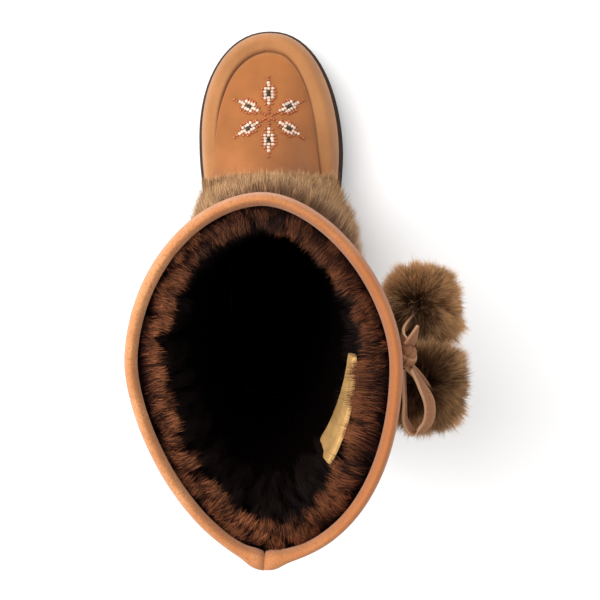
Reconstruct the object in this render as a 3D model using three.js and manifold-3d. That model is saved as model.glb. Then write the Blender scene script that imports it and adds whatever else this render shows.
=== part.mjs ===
// Mukluk boot for a right foot, standing empty on its sole, as a three.js scene graph.
// Millimetres. +Z is up, +Y points to the toe and +X to the outer side of the foot.

import * as THREE from "three";
import { mergeVertices } from "three/addons/utils/BufferGeometryUtils.js";
import Module from "manifold-3d";

const wasm = await Module();
wasm.setup();

// ---- Driving dimensions ----

const SOLE_LENGTH = 266;
const BALL_WIDTH = 102;
const COLLAR_HEIGHT = 326;
const GAP = 0.3; // clearance between pieces that touch in the real boot
// The sole's middle, seen from the origin: the middle of the boot's box, on the floor.
const MIDDLE = { x: 3.4, y: 9.2 };

const TOE = SOLE_LENGTH / 2;
const HEEL = -SOLE_LENGTH / 2;
const WIDTH_SCALE = BALL_WIDTH / 102; // the tables below are drawn for a ball width of 102

const FRONT_COLUMNS = 11; // points on each quarter in front of the widest place
const BACK_COLUMNS = 13; // points on each quarter behind it
const COLUMNS = 2 * (FRONT_COLUMNS + BACK_COLUMNS);
const SIDE_COLUMN = FRONT_COLUMNS; // the widest place on the outer side
const BACK_COLUMN = FRONT_COLUMNS + BACK_COLUMNS; // the middle of the heel

const ARCH = { centre: -36, reach: 95 }; // where the waist of the foot lies

const BINDING = {
  below: 11,
  inside: 3.5,
  leather: 0.9,
  crown: 4,
  flare: 3,
  spread: [1, 0.25],
};
const TIE = { height: 303, width: 6, thick: 1.5, slack: 2.6 };
const CUFF = { front: 22, side: 5.6, top: 11.1, edge: 4, thick: 11.5 }; // see furCuff
const INSOLE = { thick: 5 };
const LIP = { width: 3.2, height: 3.6 };
const GROOVE = { width: 4.4, depth: 3.6, pitch: 13.5, skew: 0.22 };
const PATCH = { columns: 7, low: 258, high: 298, rise: 24, thick: 1.8 };

// A table with named columns, as an array of objects.
function table(names, rows) {
  const keys = names.split(" ");
  return rows.map((row) => Object.fromEntries(keys.map((key, i) => [key, row[i]])));
}

// ---- Sole line: height of the sole's bottom and top along the foot ----

const SOLE_LINE = table("y bottom top", [
  [-133, 1.8, 24.6],
  [-126, 0.0, 24.4],
  [-92, 0.0, 23.8],
  [-58, 0.0, 22.4],
  [-38, 2.4, 20.4],
  [-12, 3.4, 17.4],
  [10, 1.8, 15.2],
  [26, 0.0, 14.2],
  [54, 0.0, 13.9],
  [84, 0.0, 15.0],
  [106, 2.3, 16.8],
  [122, 5.4, 18.8],
  [133, 8.8, 20.8],
]);

// ---- Ring tables: the upper's outer surface from the sole edge up to the collar ----

// short, over      how far the ring stops short of the sole's toe tip and of its heel end
// inner, outer     half width on each side of the ring's middle line
// mid              how far the middle line lies to the outer side
// wideIn, wideOut  where each side is widest, measured from the middle of the sole
// fi fo bi bo      roundness of the front-inner, front-outer, back-inner, back-outer quarter:
//                  2 is an ellipse, more is squarer, less is more pointed
// waistIn/Out      share by which each side pulls in at the arch
const PLAN = table(
  "short over inner outer mid wideIn wideOut fi fo bi bo waistIn waistOut",
  [
    [4.2, 4.9, 46.4, 46.3, -0.4, 59, 41, 2.15, 2.15, 2.8, 2.8, 0.17, 0.12], // edge on the sole
    [3.2, 2.6, 47.5, 46.9, -0.4, 59, 41, 2.15, 2.15, 2.9, 2.9, 0.17, 0.12], // belly of the wall
    [5.6, 2.4, 45.8, 44.6, -0.4, 59, 40, 2.15, 2.15, 3.0, 3.0, 0.14, 0.1], // shoulder
    [10.6, 3.4, 41.5, 38.9, -0.6, 60, 34, 2.1, 2.15, 3.2, 3.1, 0.06, -0.04], // moccasin roll
    [17.4, 4.8, 36.6, 33.4, -0.8, 60, 22, 2.0, 2.2, 3.3, 3.1, -0.05, -0.18], // moccasin seam
    [35.9, 5.8, 36.2, 31.8, -1.0, 46, 10, 2.05, 2.15, 3.2, 3.0, -0.02, -0.21],
    [57.9, 6.8, 36.2, 31.8, -1.2, 28, -3, 2.1, 2.1, 3.0, 2.9, 0, -0.19],
    [79.9, 7.6, 35.8, 32.4, -1.4, 10, -13, 2.1, 2.1, 2.8, 2.8, 0, -0.15],
    [97.9, 8.2, 36.0, 34.2, -1.6, -6, -23, 2.1, 2.1, 2.7, 2.7, 0, -0.1], // instep
    [112.9, 8.4, 37.4, 37.0, -1.6, -23, -33, 2.1, 2.1, 2.5, 2.5, 0, -0.04], // throat
    [122.4, 8.0, 39.8, 40.2, -1.4, -40, -43, 2.1, 2.1, 2.25, 2.25, 0, 0], // ankle
    [127.0, 5.6, 42.6, 43.0, -1.2, -53, -53, 2.05, 2.0, 2.1, 2.1, 0, 0],
    [129.6, 0.2, 46.4, 46.4, -1.8, -60, -60, 2.0, 1.95, 2.0, 2.1, 0, 0],
    [130.6, -7.0, 51.0, 51.0, -2.6, -64, -64, 1.95, 1.85, 1.8, 2.1, 0, 0],
    [130.2, -12.0, 54.0, 54.0, -3.2, -65, -65, 1.9, 1.75, 1.66, 2.12, 0, 0], // top of the pile
    [130.0, -13.0, 54.8, 54.8, -3.3, -65, -65, 1.9, 1.72, 1.62, 2.14, 0, 0], // under the binding
    [129.8, -13.6, 55.2, 55.2, -3.4, -65, -65, 1.9, 1.7, 1.6, 2.15, 0, 0], // collar
  ],
);

// front, side, back  height of the ring at its front, at its widest places and at its back
// wall               thickness of the leather or suede with its pile
// proud              how far the moccasin roll stands out, or its seam lies in, over the toe
const HEIGHTS = table("front side back wall proud", [
  [21.3, 14.2, 24.9, 7, 0],
  [31.0, 27.0, 37.0, 8, 0.3],
  [41.0, 40.5, 49.0, 8.5, 0.8],
  [47.0, 50.0, 59.0, 8.5, 1.9],
  [48.4, 54.5, 66.0, 8.5, -1.3],
  [54.0, 57.5, 71.0, 8.5, 0.4],
  [63.4, 60.5, 76.0, 8.5, 0],
  [74.6, 64.5, 81.0, 8.5, 0],
  [87.0, 71.5, 87.0, 9, 0],
  [103.0, 85.0, 96.0, 9.5, 0],
  [129.0, 109.0, 112.0, 10, 0],
  [172.0, 150.0, 150.0, 10.5, 0],
  [222.0, 208.0, 206.0, 11, 0],
  [272.0, 266.0, 265.0, 12, 0],
  [COLLAR_HEIGHT - 17, COLLAR_HEIGHT - 17, COLLAR_HEIGHT - 17, 12.5, 0],
  [COLLAR_HEIGHT - 8, COLLAR_HEIGHT - 8, COLLAR_HEIGHT - 8, 1.1, 0],
  [COLLAR_HEIGHT, COLLAR_HEIGHT, COLLAR_HEIGHT, 1.1, 0],
]);
const LAST_ROW = PLAN.length - 1;
const SHOULDER = 2; // the row above which the rings no longer follow the sole
const ANKLE = 11; // the row up to which the outer surface has rings at half rows too
const PILE_TOP = LAST_ROW - 2; // the row where the pile ends under the binding

// ---- Smooth reading of the tables ----

// Value at a fractional place in a list, along a curve that never overshoots its points.
function smoothAt(values, places, at) {
  const last = values.length - 1;
  let i = 0;
  while (i < last - 1 && at > places[i + 1]) i += 1;
  const secant = (k) => (values[k + 1] - values[k]) / (places[k + 1] - places[k]);
  const slope = (k) => {
    if (k === 0) return secant(0);
    if (k === last) return secant(last - 1);
    const [a, b] = [secant(k - 1), secant(k)];
    return a * b <= 0 ? 0 : (2 * a * b) / (a + b);
  };
  const width = places[i + 1] - places[i];
  const s = (at - places[i]) / width;
  const rise = values[i + 1] - values[i];
  const [m0, m1] = [slope(i) * width, slope(i + 1) * width];
  return values[i] + s * (m0 + s * (3 * rise - 2 * m0 - m1 + s * (m0 + m1 - 2 * rise)));
}

const smoothRow = (rows, at) => {
  const places = rows.map((_, i) => i);
  const keys = Object.keys(rows[0]);
  return Object.fromEntries(
    keys.map((key) => [key, smoothAt(rows.map((row) => row[key]), places, at)]),
  );
};

const alongSole = (key, y) =>
  smoothAt(SOLE_LINE.map((row) => row[key]), SOLE_LINE.map((row) => row.y), y);

const smoothStep = (from, to, x) => {
  const s = Math.min(1, Math.max(0, (x - from) / (to - from)));
  return s * s * (3 - 2 * s);
};

const waistAt = (y) => {
  const off = Math.min(1, Math.abs(y - ARCH.centre) / ARCH.reach);
  return Math.cos((off * Math.PI) / 2) ** 2;
};

// ---- Rings ----

// Points of a quarter outline from its widest place to its tip, evenly spaced along its length,
// as [share of the half width, share of the reach]. The tip is left out.
function quarter(halfWidth, reach, power, count) {
  const SAMPLES = 160;
  const line = Array.from({ length: SAMPLES + 1 }, (_, i) => {
    const along = Math.sin((i / SAMPLES) * (Math.PI / 2));
    return [Math.max(0, 1 - along ** power) ** (1 / power), along];
  });
  const lengths = [0];
  for (let i = 1; i <= SAMPLES; i += 1) {
    const dx = (line[i][0] - line[i - 1][0]) * halfWidth;
    const dy = (line[i][1] - line[i - 1][1]) * reach;
    lengths.push(lengths[i - 1] + Math.hypot(dx, dy));
  }
  const points = [];
  let i = 0;
  for (let k = 0; k < count; k += 1) {
    const target = (lengths[SAMPLES] * k) / count;
    while (lengths[i + 1] < target) i += 1;
    const s = (target - lengths[i]) / (lengths[i + 1] - lengths[i]);
    points.push([0, 1].map((n) => line[i][n] + s * (line[i + 1][n] - line[i][n])));
  }
  return points;
}

// A closed outline seen from above, from the toe round the outer side to the heel and back.
// Each point also says how far it lies towards the ring's front (1) or back (-1).
function planRing(row, grow = 0, density = 1) {
  const front = TOE - row.short + grow;
  const back = HEEL + row.over - grow;
  const arc = (side, end) => {
    const half = (side > 0 ? row.outer : row.inner) * WIDTH_SCALE + grow;
    const wide = side > 0 ? row.wideOut : row.wideIn;
    const waist = side > 0 ? row.waistOut : row.waistIn;
    const reach = Math.abs((end > 0 ? front : back) - wide);
    const power = row[(end > 0 ? "f" : "b") + (side > 0 ? "o" : "i")];
    const count = density * (end > 0 ? FRONT_COLUMNS : BACK_COLUMNS);
    const points = [...quarter(half, reach, power, count), [0, 1]];
    return points.map(([across, along]) => {
      const y = wide + end * along * reach;
      const x = row.mid + side * across * half * (1 - waist * waistAt(y));
      return { x, y, tilt: end * along };
    });
  };
  return [
    ...arc(1, 1).reverse().slice(0, -1),
    ...arc(1, -1).slice(0, -1),
    ...arc(-1, -1).reverse().slice(0, -1),
    ...arc(-1, 1).slice(0, -1),
  ];
}

// Height of a ring at a point that lies `tilt` of the way to its front (1) or back (-1).
function ringHeight(at, tilt) {
  const { front, side, back } = smoothRow(HEIGHTS, at);
  return side + ((tilt > 0 ? front : back) - side) * tilt * tilt;
}

// The ring at a fractional row of the tables, as points in space. Below the shoulder the rings
// open out to follow the top of the sole.
function ringAt(at) {
  return planRing(smoothRow(PLAN, at)).map(({ x, y, tilt }) => {
    const height = ringHeight(at, tilt);
    if (at >= SHOULDER) return new THREE.Vector3(x, y, height);
    const sole = alongSole("top", y) + GAP;
    const [edge, shoulder] = [ringHeight(0, tilt), ringHeight(SHOULDER, tilt)];
    const share = (height - edge) / (shoulder - edge);
    return new THREE.Vector3(x, y, sole + share * (shoulder - sole));
  });
}

// The same ring with its outward normals, its wall and its moccasin relief.
function skinAt(at) {
  const NEAR = 0.05;
  const points = ringAt(at);
  const lower = ringAt(Math.max(0, at - NEAR));
  const upper = ringAt(Math.min(LAST_ROW, at + NEAR));
  const level = smoothRow(HEIGHTS, at);
  return points.map((point, j) => {
    const next = points[(j + 1) % COLUMNS];
    const before = points[(j + COLUMNS - 1) % COLUMNS];
    const along = next.clone().sub(before);
    const up = upper[j].clone().sub(lower[j]);
    const normal = up.cross(along).normalize();
    if (at === 0 || at === LAST_ROW) normal.setZ(0).normalize(); // flat rims
    const proud = level.proud * smoothStep(0, 40, point.y);
    return { point, normal, wall: level.wall, proud };
  });
}

const offset = (skin, distance) =>
  skin.point.clone().addScaledVector(skin.normal, distance);

// Fractional row at which the shaft's sides reach a height.
function rowAtHeight(z) {
  let [low, high] = [10, LAST_ROW];
  for (let i = 0; i < 40; i += 1) {
    const middle = (low + high) / 2;
    if (smoothRow(HEIGHTS, middle).side < z) low = middle;
    else high = middle;
  }
  return low;
}

// ---- Making closed solids ----

function geometryOf(points, triangles) {
  const geometry = new THREE.BufferGeometry();
  const positions = points.flatMap((p) => [p.x, p.y, p.z]);
  geometry.setAttribute("position", new THREE.Float32BufferAttribute(positions, 3));
  geometry.setIndex(triangles);
  geometry.computeVertexNormals();
  return geometry;
}

const quad = (a, b, c, d) => [a, b, c, a, c, d];

// A closed band: one closed section for each column, running up outside and down inside.
function hoop(sections) {
  const size = sections[0].length;
  const triangles = [];
  sections.forEach((_, j) => {
    const next = (j + 1) % sections.length;
    for (let i = 0; i < size; i += 1) {
      const up = (i + 1) % size;
      triangles.push(
        ...quad(j * size + i, j * size + up, next * size + up, next * size + i),
      );
    }
  });
  return geometryOf(sections.flat(), triangles);
}

// An open strip of closed sections, closed by a flat cap at each end.
function bar(sections) {
  const size = sections[0].length;
  const count = sections.length;
  const triangles = [];
  for (let j = 0; j < count - 1; j += 1) {
    for (let i = 0; i < size; i += 1) {
      const up = (i + 1) % size;
      const next = (j + 1) * size;
      triangles.push(...quad(j * size + i, j * size + up, next + up, next + i));
    }
  }
  for (let i = 1; i < size - 1; i += 1) {
    const end = (count - 1) * size;
    triangles.push(0, i + 1, i, end, end + i, end + i + 1);
  }
  return geometryOf(sections.flat(), triangles);
}

function solidOf(geometry) {
  const bare = new THREE.BufferGeometry();
  bare.setAttribute("position", geometry.getAttribute("position"));
  bare.setIndex(geometry.index);
  const merged = mergeVertices(bare, 1e-4);
  return new wasm.Manifold(
    new wasm.Mesh({
      numProp: 3,
      vertProperties: new Float32Array(merged.attributes.position.array),
      triVerts: new Uint32Array(merged.index.array),
    }),
  );
}

function geometryFrom(solid) {
  const { vertProperties, triVerts } = solid.getMesh();
  const geometry = new THREE.BufferGeometry();
  geometry.setAttribute("position", new THREE.BufferAttribute(vertProperties, 3));
  geometry.setIndex(new THREE.BufferAttribute(triVerts, 1));
  geometry.computeVertexNormals();
  return geometry;
}

// ---- Outsole ----

const SOLE_PLAN = {
  short: 0, over: 0, inner: 50.2, outer: 50.6, mid: -0.4, wideIn: 59, wideOut: 41,
  fi: 2.15, fo: 2.15, bi: 2.8, bo: 2.8, waistIn: 0.16, waistOut: 0.12,
};

// A tall prism over a closed outline.
function prism(outline) {
  const shape = new THREE.Shape(outline.map(({ x, y }) => new THREE.Vector2(x, y)));
  const tall = new THREE.ExtrudeGeometry(shape, { depth: 80, bevelEnabled: false });
  return solidOf(tall.translate(0, 0, -20));
}

const solePrism = (grow) => prism(planRing(SOLE_PLAN, grow, 2));

// A wide prism between two lines of the side view.
function sideBand(lowAt, highAt) {
  const STATIONS = 40;
  const MARGIN = 2;
  const ys = Array.from(
    { length: STATIONS + 1 },
    (_, i) => HEEL - MARGIN + ((SOLE_LENGTH + 2 * MARGIN) * i) / STATIONS,
  );
  const clamp = (y) => Math.min(TOE, Math.max(HEEL, y));
  const outline = [
    ...ys.map((y) => new THREE.Vector2(y, lowAt(clamp(y)))),
    ...ys.reverse().map((y) => new THREE.Vector2(y, highAt(clamp(y)))),
  ];
  const band = new THREE.ExtrudeGeometry(new THREE.Shape(outline), {
    depth: 200,
    bevelEnabled: false,
  });
  // Shape x runs along the foot, shape y is up and the extrusion runs across.
  const turn = new THREE.Matrix4().makeBasis(
    new THREE.Vector3(0, 1, 0),
    new THREE.Vector3(0, 0, 1),
    new THREE.Vector3(1, 0, 0),
  );
  return solidOf(band.applyMatrix4(turn).translate(-100, 0, 0));
}

// One slanted groove of a chevron, running from the middle of the sole past one edge.
function groove(y, side) {
  const LENGTH = 70;
  const box = new THREE.BoxGeometry(LENGTH, GROOVE.width, 2 * GROOVE.depth);
  box.translate(side * (LENGTH / 2 + 3.5), 0, 0);
  box.rotateZ(side * -GROOVE.skew);
  return solidOf(box.translate(0, y, alongSole("bottom", y)));
}

function outsole() {
  const bottom = (y) => alongSole("bottom", y);
  const top = (y) => alongSole("top", y);
  let solid = solePrism(0).intersect(sideBand(bottom, top));
  const rim = solePrism(0).subtract(solePrism(-LIP.width));
  const lip = rim.intersect(sideBand((y) => top(y) - 1, (y) => top(y) + LIP.height));
  solid = solid.add(lip);
  const tread = [
    { from: -112, count: 4 }, // heel
    { from: 14, count: 8 }, // forefoot
  ];
  for (const { from, count } of tread)
    for (let i = 0; i < count; i += 1)
      for (const side of [-1, 1])
        solid = solid.subtract(groove(from + i * GROOVE.pitch, side));
  return geometryFrom(solid);
}

// ---- Pieces cut from the upper's own surface ----

// Evenly spaced values from one to another, both included.
const spaced = (from, to, pieces) =>
  Array.from({ length: pieces + 1 }, (_, i) => from + ((to - from) * i) / pieces);

const outerSkins = [
  ...spaced(0, ANKLE, 2 * ANKLE).slice(0, -1),
  ...spaced(ANKLE, LAST_ROW, LAST_ROW - ANKLE),
].map(skinAt);
const innerSkins = [
  ...spaced(0, 8, 4),
  ...spaced(9.5, PILE_TOP, 3),
  ...spaced(PILE_TOP + 1, LAST_ROW, 1),
].map(skinAt);

// The upper: one hollow wall, open at the collar and underneath.
function upper() {
  return hoop(
    outerSkins[0].map((_, j) => {
      const outside = outerSkins.map((ring) => offset(ring[j], ring[j].proud));
      const inside = innerSkins.map((ring) => offset(ring[j], -ring[j].wall));
      inside[0].setZ(alongSole("top", inside[0].y) + GAP);
      return [...outside, ...inside.reverse()];
    }),
  );
}

// The insole board with its pile, inside the foot of the upper.
function insole() {
  const rim = outerSkins[0].map((skin) => offset(skin, -skin.wall - 4 * GAP));
  const low = (y) => alongSole("top", y) + GAP;
  const layer = sideBand(low, (y) => low(y) + INSOLE.thick);
  return geometryFrom(prism(rim).intersect(layer));
}

// Row of the fur's lower edge at a column: straight across the instep at CUFF.front, then
// along the row CUFF.side on both sides and round the heel.
function cuffEdge(column) {
  let [low, high] = [CUFF.side, CUFF.top];
  for (let i = 0; i < 20; i += 1) {
    const middle = (low + high) / 2;
    if (ringAt(middle)[column].y > CUFF.front) low = middle;
    else high = middle;
  }
  return low;
}

// The fur band round the ankle, as the form that its hair fills.
function furCuff() {
  const RINGS = 6;
  const swell = (i) => Math.sin((Math.PI * i) / RINGS) ** 0.6;
  return hoop(
    outerSkins[0].map((_, j) => {
      const skins = spaced(cuffEdge(j), CUFF.top, RINGS).map((at) => skinAt(at)[j]);
      const outside = skins.map((skin, i) =>
        offset(skin, CUFF.edge + (CUFF.thick - CUFF.edge) * swell(i)),
      );
      const inside = skins.map((skin) => offset(skin, 4 * GAP));
      return [...outside, ...inside.reverse()];
    }),
  );
}

// The suede binding, folded over the edge of the collar. Its ends meet in a flared seam at
// the back.
function collarBinding() {
  const wall = HEIGHTS[LAST_ROW].wall;
  const clear = -wall - 1.5 * GAP;
  const rim = outerSkins[outerSkins.length - 1];
  const section = (skin, flare) => {
    const outer = 2 * GAP + BINDING.leather + BINDING.flare * flare;
    const inner = clear - BINDING.leather;
    const crown = BINDING.crown;
    return [
      [outer, -BINDING.below],
      [outer + 0.1, 0.4 * crown],
      [outer - 0.9, 0.85 * crown],
      [(outer + inner) / 2, crown],
      [inner + 0.9, 0.85 * crown],
      [inner, 0.4 * crown],
      [inner, -BINDING.inside],
      [clear, -BINDING.inside],
      [clear, GAP],
      [GAP, GAP],
      [2 * GAP, -BINDING.below],
    ].map(([out, up]) => offset(skin, out).setZ(COLLAR_HEIGHT + up));
  };
  const around = spaced(BACK_COLUMN, BACK_COLUMN + COLUMNS, COLUMNS);
  return bar(
    around.map((place, i) => {
      const fromSeam = Math.min(i, COLUMNS - i);
      const points = section(rim[place % COLUMNS], BINDING.spread[fromSeam] ?? 0);
      const apart = i === 0 ? -2 * GAP : 2 * GAP;
      return fromSeam > 0 ? points : points.map((p) => p.setX(p.x + apart));
    }),
  );
}

// The flat suede tie round the shaft, slacker towards the knot.
function tieBand() {
  const half = TIE.width / 2;
  const rings = [TIE.height - half, TIE.height + half].map((z) => skinAt(rowAtHeight(z)));
  return hoop(
    rings[0].map((low, j) => {
      const towardsKnot = Math.exp(-(((j - SIDE_COLUMN + 3) / 4) ** 2));
      const near = 1.4 * GAP + TIE.slack * towardsKnot;
      const high = rings[1][j];
      const far = near + TIE.thick;
      return [offset(low, far), offset(high, far), offset(high, near), offset(low, near)];
    }),
  );
}

// A plain suede patch on the pile, inside the outer wall of the shaft. Its lower edge rises
// towards the front.
function liningPatch() {
  const LEVELS = 4;
  return bar(
    spaced(0, PATCH.columns, PATCH.columns).map((i) => {
      const low = PATCH.low + PATCH.rise * (1 - i / PATCH.columns) ** 2;
      const skins = spaced(low, PATCH.high, LEVELS).map(
        (z) => skinAt(rowAtHeight(z))[SIDE_COLUMN + i],
      );
      const face = (depth) => skins.map((skin) => offset(skin, -skin.wall - depth));
      return [...face(2 * GAP), ...face(2 * GAP + PATCH.thick).reverse()];
    }),
  );
}

// ---- Laces, bow and pompoms ----

const LACE = { width: 6, thick: 1.4 };
const CORD = { width: 4.5, thick: 1.4 };
const KNOT = { centre: [58.6, -63.6, 308], size: [3.8, 4.6, 3.8] };
const POMPOM = { radius: 22, flat: 0.92 }; // flatter towards the shaft that it hangs against
const POMPOMS = {
  front: [75, -46, 230],
  back: [71.6, -83, 262],
};
// The laces that the pompoms hang on, from under the knot to the top of the fur.
const CORD_ROUTES = {
  front: [
    [58.4, -61.0, 303.6],
    [59.6, -59.8, 296],
    [60.4, -58.4, 276],
    [62.4, -56.0, 262],
    [67.6, -51.6, 252.4],
  ],
  back: [
    [58.4, -66.2, 303.6],
    [59.4, -68.2, 297],
    [66.2, -75.4, 292.5],
    [71.6, -83.0, 285.5],
  ],
};

const point = ([x, y, z]) => new THREE.Vector3(x, y, z);

// A flat lace along a smooth route. Its width lies along the direction `across`.
function lace({ width, thick }, route, across, taper = () => 1) {
  const STATIONS = 18;
  const curve = new THREE.CatmullRomCurve3(route.map(point), false, "centripetal");
  const sections = Array.from({ length: STATIONS + 1 }, (_, i) => {
    const s = i / STATIONS;
    const centre = curve.getPointAt(s);
    const tangent = curve.getTangentAt(s);
    const wide = point(across);
    wide.addScaledVector(tangent, -wide.dot(tangent)).normalize();
    const deep = new THREE.Vector3().crossVectors(tangent, wide);
    wide.multiplyScalar((width / 2) * taper(s));
    deep.multiplyScalar(thick / 2);
    const corner = (a, b) => centre.clone().addScaledVector(wide, a).addScaledVector(deep, b);
    return [corner(-1, -1), corner(1, -1), corner(1, 1), corner(-1, 1)];
  });
  return bar(sections);
}

function ball(radius, detail, centre, scale) {
  const geometry = new THREE.IcosahedronGeometry(radius, detail);
  return geometry.scale(...scale).translate(...centre);
}

const bowKnot = () => ball(1, 3, KNOT.centre, KNOT.size);

const bowLoop = () =>
  lace(
    LACE,
    [
      [60.0, -68.8, 308.4],
      [64.2, -76.2, 307],
      [68.6, -85.2, 304],
      [68.0, -94.0, 301.5],
      [62.6, -98.2, 301],
      [58.4, -93.4, 302.6],
      [57.6, -83.4, 305],
      [56.8, -69.2, 307],
    ],
    [0.28, 0, -1],
  );

const bowTail = () =>
  lace(
    LACE,
    [
      [58.8, -58.6, 308.4],
      [60.6, -55.2, 309.6],
      [62.4, -50.4, 311],
    ],
    [1, 0.15, -0.55],
    (s) => 1 - 0.86 * s,
  );

const pompom = (centre) =>
  ball(POMPOM.radius, 4, centre, [POMPOM.flat, 1, 1]);

const pompomCord = (route) => lace(CORD, route, [0.2, 1, 0]);

// ---- Assembly ----

const finish = (color, roughness) =>
  new THREE.MeshStandardMaterial({ color, roughness, metalness: 0 });
const suede = finish(0xc98a55, 0.9);
const lacing = finish(0xa8795a, 0.92);
const rubber = finish(0x3a2a20, 0.7);
const pile = finish(0x3a1d12, 1);
const fur = finish(0x7d654a, 1);
const patchLeather = finish(0xc49a55, 0.85);

const pieces = [
  ["outsole", outsole(), rubber],
  ["insole", insole(), pile],
  ["upper", upper(), suede],
  ["fur_cuff", furCuff(), fur],
  ["collar_binding", collarBinding(), suede],
  ["lining_patch", liningPatch(), patchLeather],
  ["tie_band", tieBand(), lacing],
  ["bow_knot", bowKnot(), lacing],
  ["bow_loop", bowLoop(), lacing],
  ["bow_tail", bowTail(), lacing],
  ["pompom_cord_front", pompomCord(CORD_ROUTES.front), lacing],
  ["pompom_cord_back", pompomCord(CORD_ROUTES.back), lacing],
  ["pompom_front", pompom(POMPOMS.front), fur],
  ["pompom_back", pompom(POMPOMS.back), fur],
];

const boot = new THREE.Group();
boot.position.set(MIDDLE.x, MIDDLE.y, 0);
for (const [name, geometry, material] of pieces) {
  const mesh = new THREE.Mesh(geometry, material);
  mesh.name = name;
  boot.add(mesh);
}

export default boot;
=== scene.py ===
"""The look of a right-foot mukluk boot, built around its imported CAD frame.

Metres. +Z is up, +Y points to the toe and +X to the outer side of the foot.
"""

from math import radians, tau

import bmesh
import bpy
import numpy as np
from mathutils import Matrix, Vector
from mathutils.bvhtree import BVHTree


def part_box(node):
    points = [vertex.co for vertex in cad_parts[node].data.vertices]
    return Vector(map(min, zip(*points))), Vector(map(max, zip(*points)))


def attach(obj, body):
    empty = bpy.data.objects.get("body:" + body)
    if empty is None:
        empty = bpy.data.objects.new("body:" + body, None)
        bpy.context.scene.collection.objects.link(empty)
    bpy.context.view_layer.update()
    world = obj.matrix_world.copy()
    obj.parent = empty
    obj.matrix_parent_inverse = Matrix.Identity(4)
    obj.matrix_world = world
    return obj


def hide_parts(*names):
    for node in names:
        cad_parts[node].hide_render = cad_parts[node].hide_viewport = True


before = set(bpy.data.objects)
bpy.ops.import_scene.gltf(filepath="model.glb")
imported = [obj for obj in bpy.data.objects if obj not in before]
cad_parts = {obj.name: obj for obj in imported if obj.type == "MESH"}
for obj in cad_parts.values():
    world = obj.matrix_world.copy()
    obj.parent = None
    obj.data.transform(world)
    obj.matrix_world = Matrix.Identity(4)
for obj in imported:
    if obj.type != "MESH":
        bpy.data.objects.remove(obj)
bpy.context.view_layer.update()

bl_info = {
    "name": "Mukluk boot",
    "version": (1, 0, 0),
    "blender": (4, 5, 0),
    "location": "View3D > Sidebar > Mukluk",
    "description": "Builds a fur-trimmed mukluk boot around its packed frame",
    "category": "Object",
}

BODY = "root"
MM = 0.001
COLUMNS = 48  # sections round the upper, column 0 at the toe and 24 at the heel
OUTER_COLUMN = 11  # the widest place on the outer side
BACK_COLUMN = 24
UPPER_RINGS = 39  # rings through the upper's wall
OUTER_RINGS = 28  # of these, rings on the outer surface, from the sole up
INNER_ROWS = (16, 15, 14, 12.5, 11, 9.5, 8, 6, 4, 2, 0)  # table rows of the inner rings
ANKLE = 11  # table row up to which the outer surface has rings at half rows too
SEAM_ROW = 4  # table row of the moccasin seam
CUFF_RINGS = 14
CUFF_OUTER_RINGS = 7


def table(names, *rows):
    """Rows with named columns, as a list of dicts."""
    keys = names.split()
    return [dict(zip(keys, row)) for row in rows]


def srgb(code):
    """A colour such as 0xC98A55 as linear red, green and blue."""
    parts = [(code >> shift & 255) / 255 for shift in (16, 8, 0)]
    return tuple(
        p / 12.92 if p <= 0.04045 else ((p + 0.055) / 1.055) ** 2.4 for p in parts
    )


def smooth_step(low, high, x):
    s = np.clip((np.asarray(x, float) - low) / (high - low), 0, 1)
    return s * s * (3 - 2 * s)


def bell(x, width):
    return np.exp(-((x / width) ** 2))


# ---- Sizes and colours ----


def length(name, millimetres, description):
    return bpy.props.FloatProperty(
        name=name, description=description, default=millimetres * MM, min=0,
        unit="LENGTH", precision=5,
    )


def count(name, default, description):
    return bpy.props.IntProperty(name=name, description=description, default=default, min=1)


def share(name, default, description):
    return bpy.props.FloatProperty(
        name=name, description=description, default=default, min=0, max=1, subtype="FACTOR"
    )


def colour(name, code, description):
    return bpy.props.FloatVectorProperty(
        name=name, description=description, default=srgb(code), size=3, min=0, max=1,
        subtype="COLOR",
    )


class MuklukSizes(bpy.types.PropertyGroup):
    """Sizes of the soft parts and of the sewing."""

    seam_depth: length("Seam depth", 1.5, "Depth of the moccasin seam")
    seam_width: length("Seam width", 1.1, "Half width of the moccasin seam")
    gather_depth: length("Gather depth", 0.7, "Depth of the gathers above the sole")
    gathers: count("Gathers", 132, "Gathers round the foot above the sole")
    hide: length("Hide thickness", 2.8, "Leather and pile backing under the collar")
    pile_length: length("Pile length", 7.0, "Length of the lining's pile")
    pile_hairs: count("Pile hairs", 64000, "Hairs drawn in the lining")
    fur_hairs: count("Fur hairs", 62000, "Hairs drawn on the ankle band")
    fur_lean: share("Fur lean", 0.3, "How far the ankle fur leans down")
    pompom_hairs: count("Pompom hairs", 42000, "Hairs drawn on each pompom")
    hair_width: length("Hair width", 0.3, "Width of a hair at its root")
    lace_width: length("Lace width", 6.0, "Width of the bow's lace")
    lace_thick: length("Lace thickness", 1.4, "Thickness of all laces")
    cord_width: length("Cord width", 4.5, "Width of the laces the pompoms hang on")
    bead: length("Bead length", 2.08, "Length of a seed bead along its column")
    bead_wide: length("Bead width", 2.3, "Distance between two columns of beads")
    stitch: length("Stitch length", 2.3, "Length of a stitch that shows")


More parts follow.
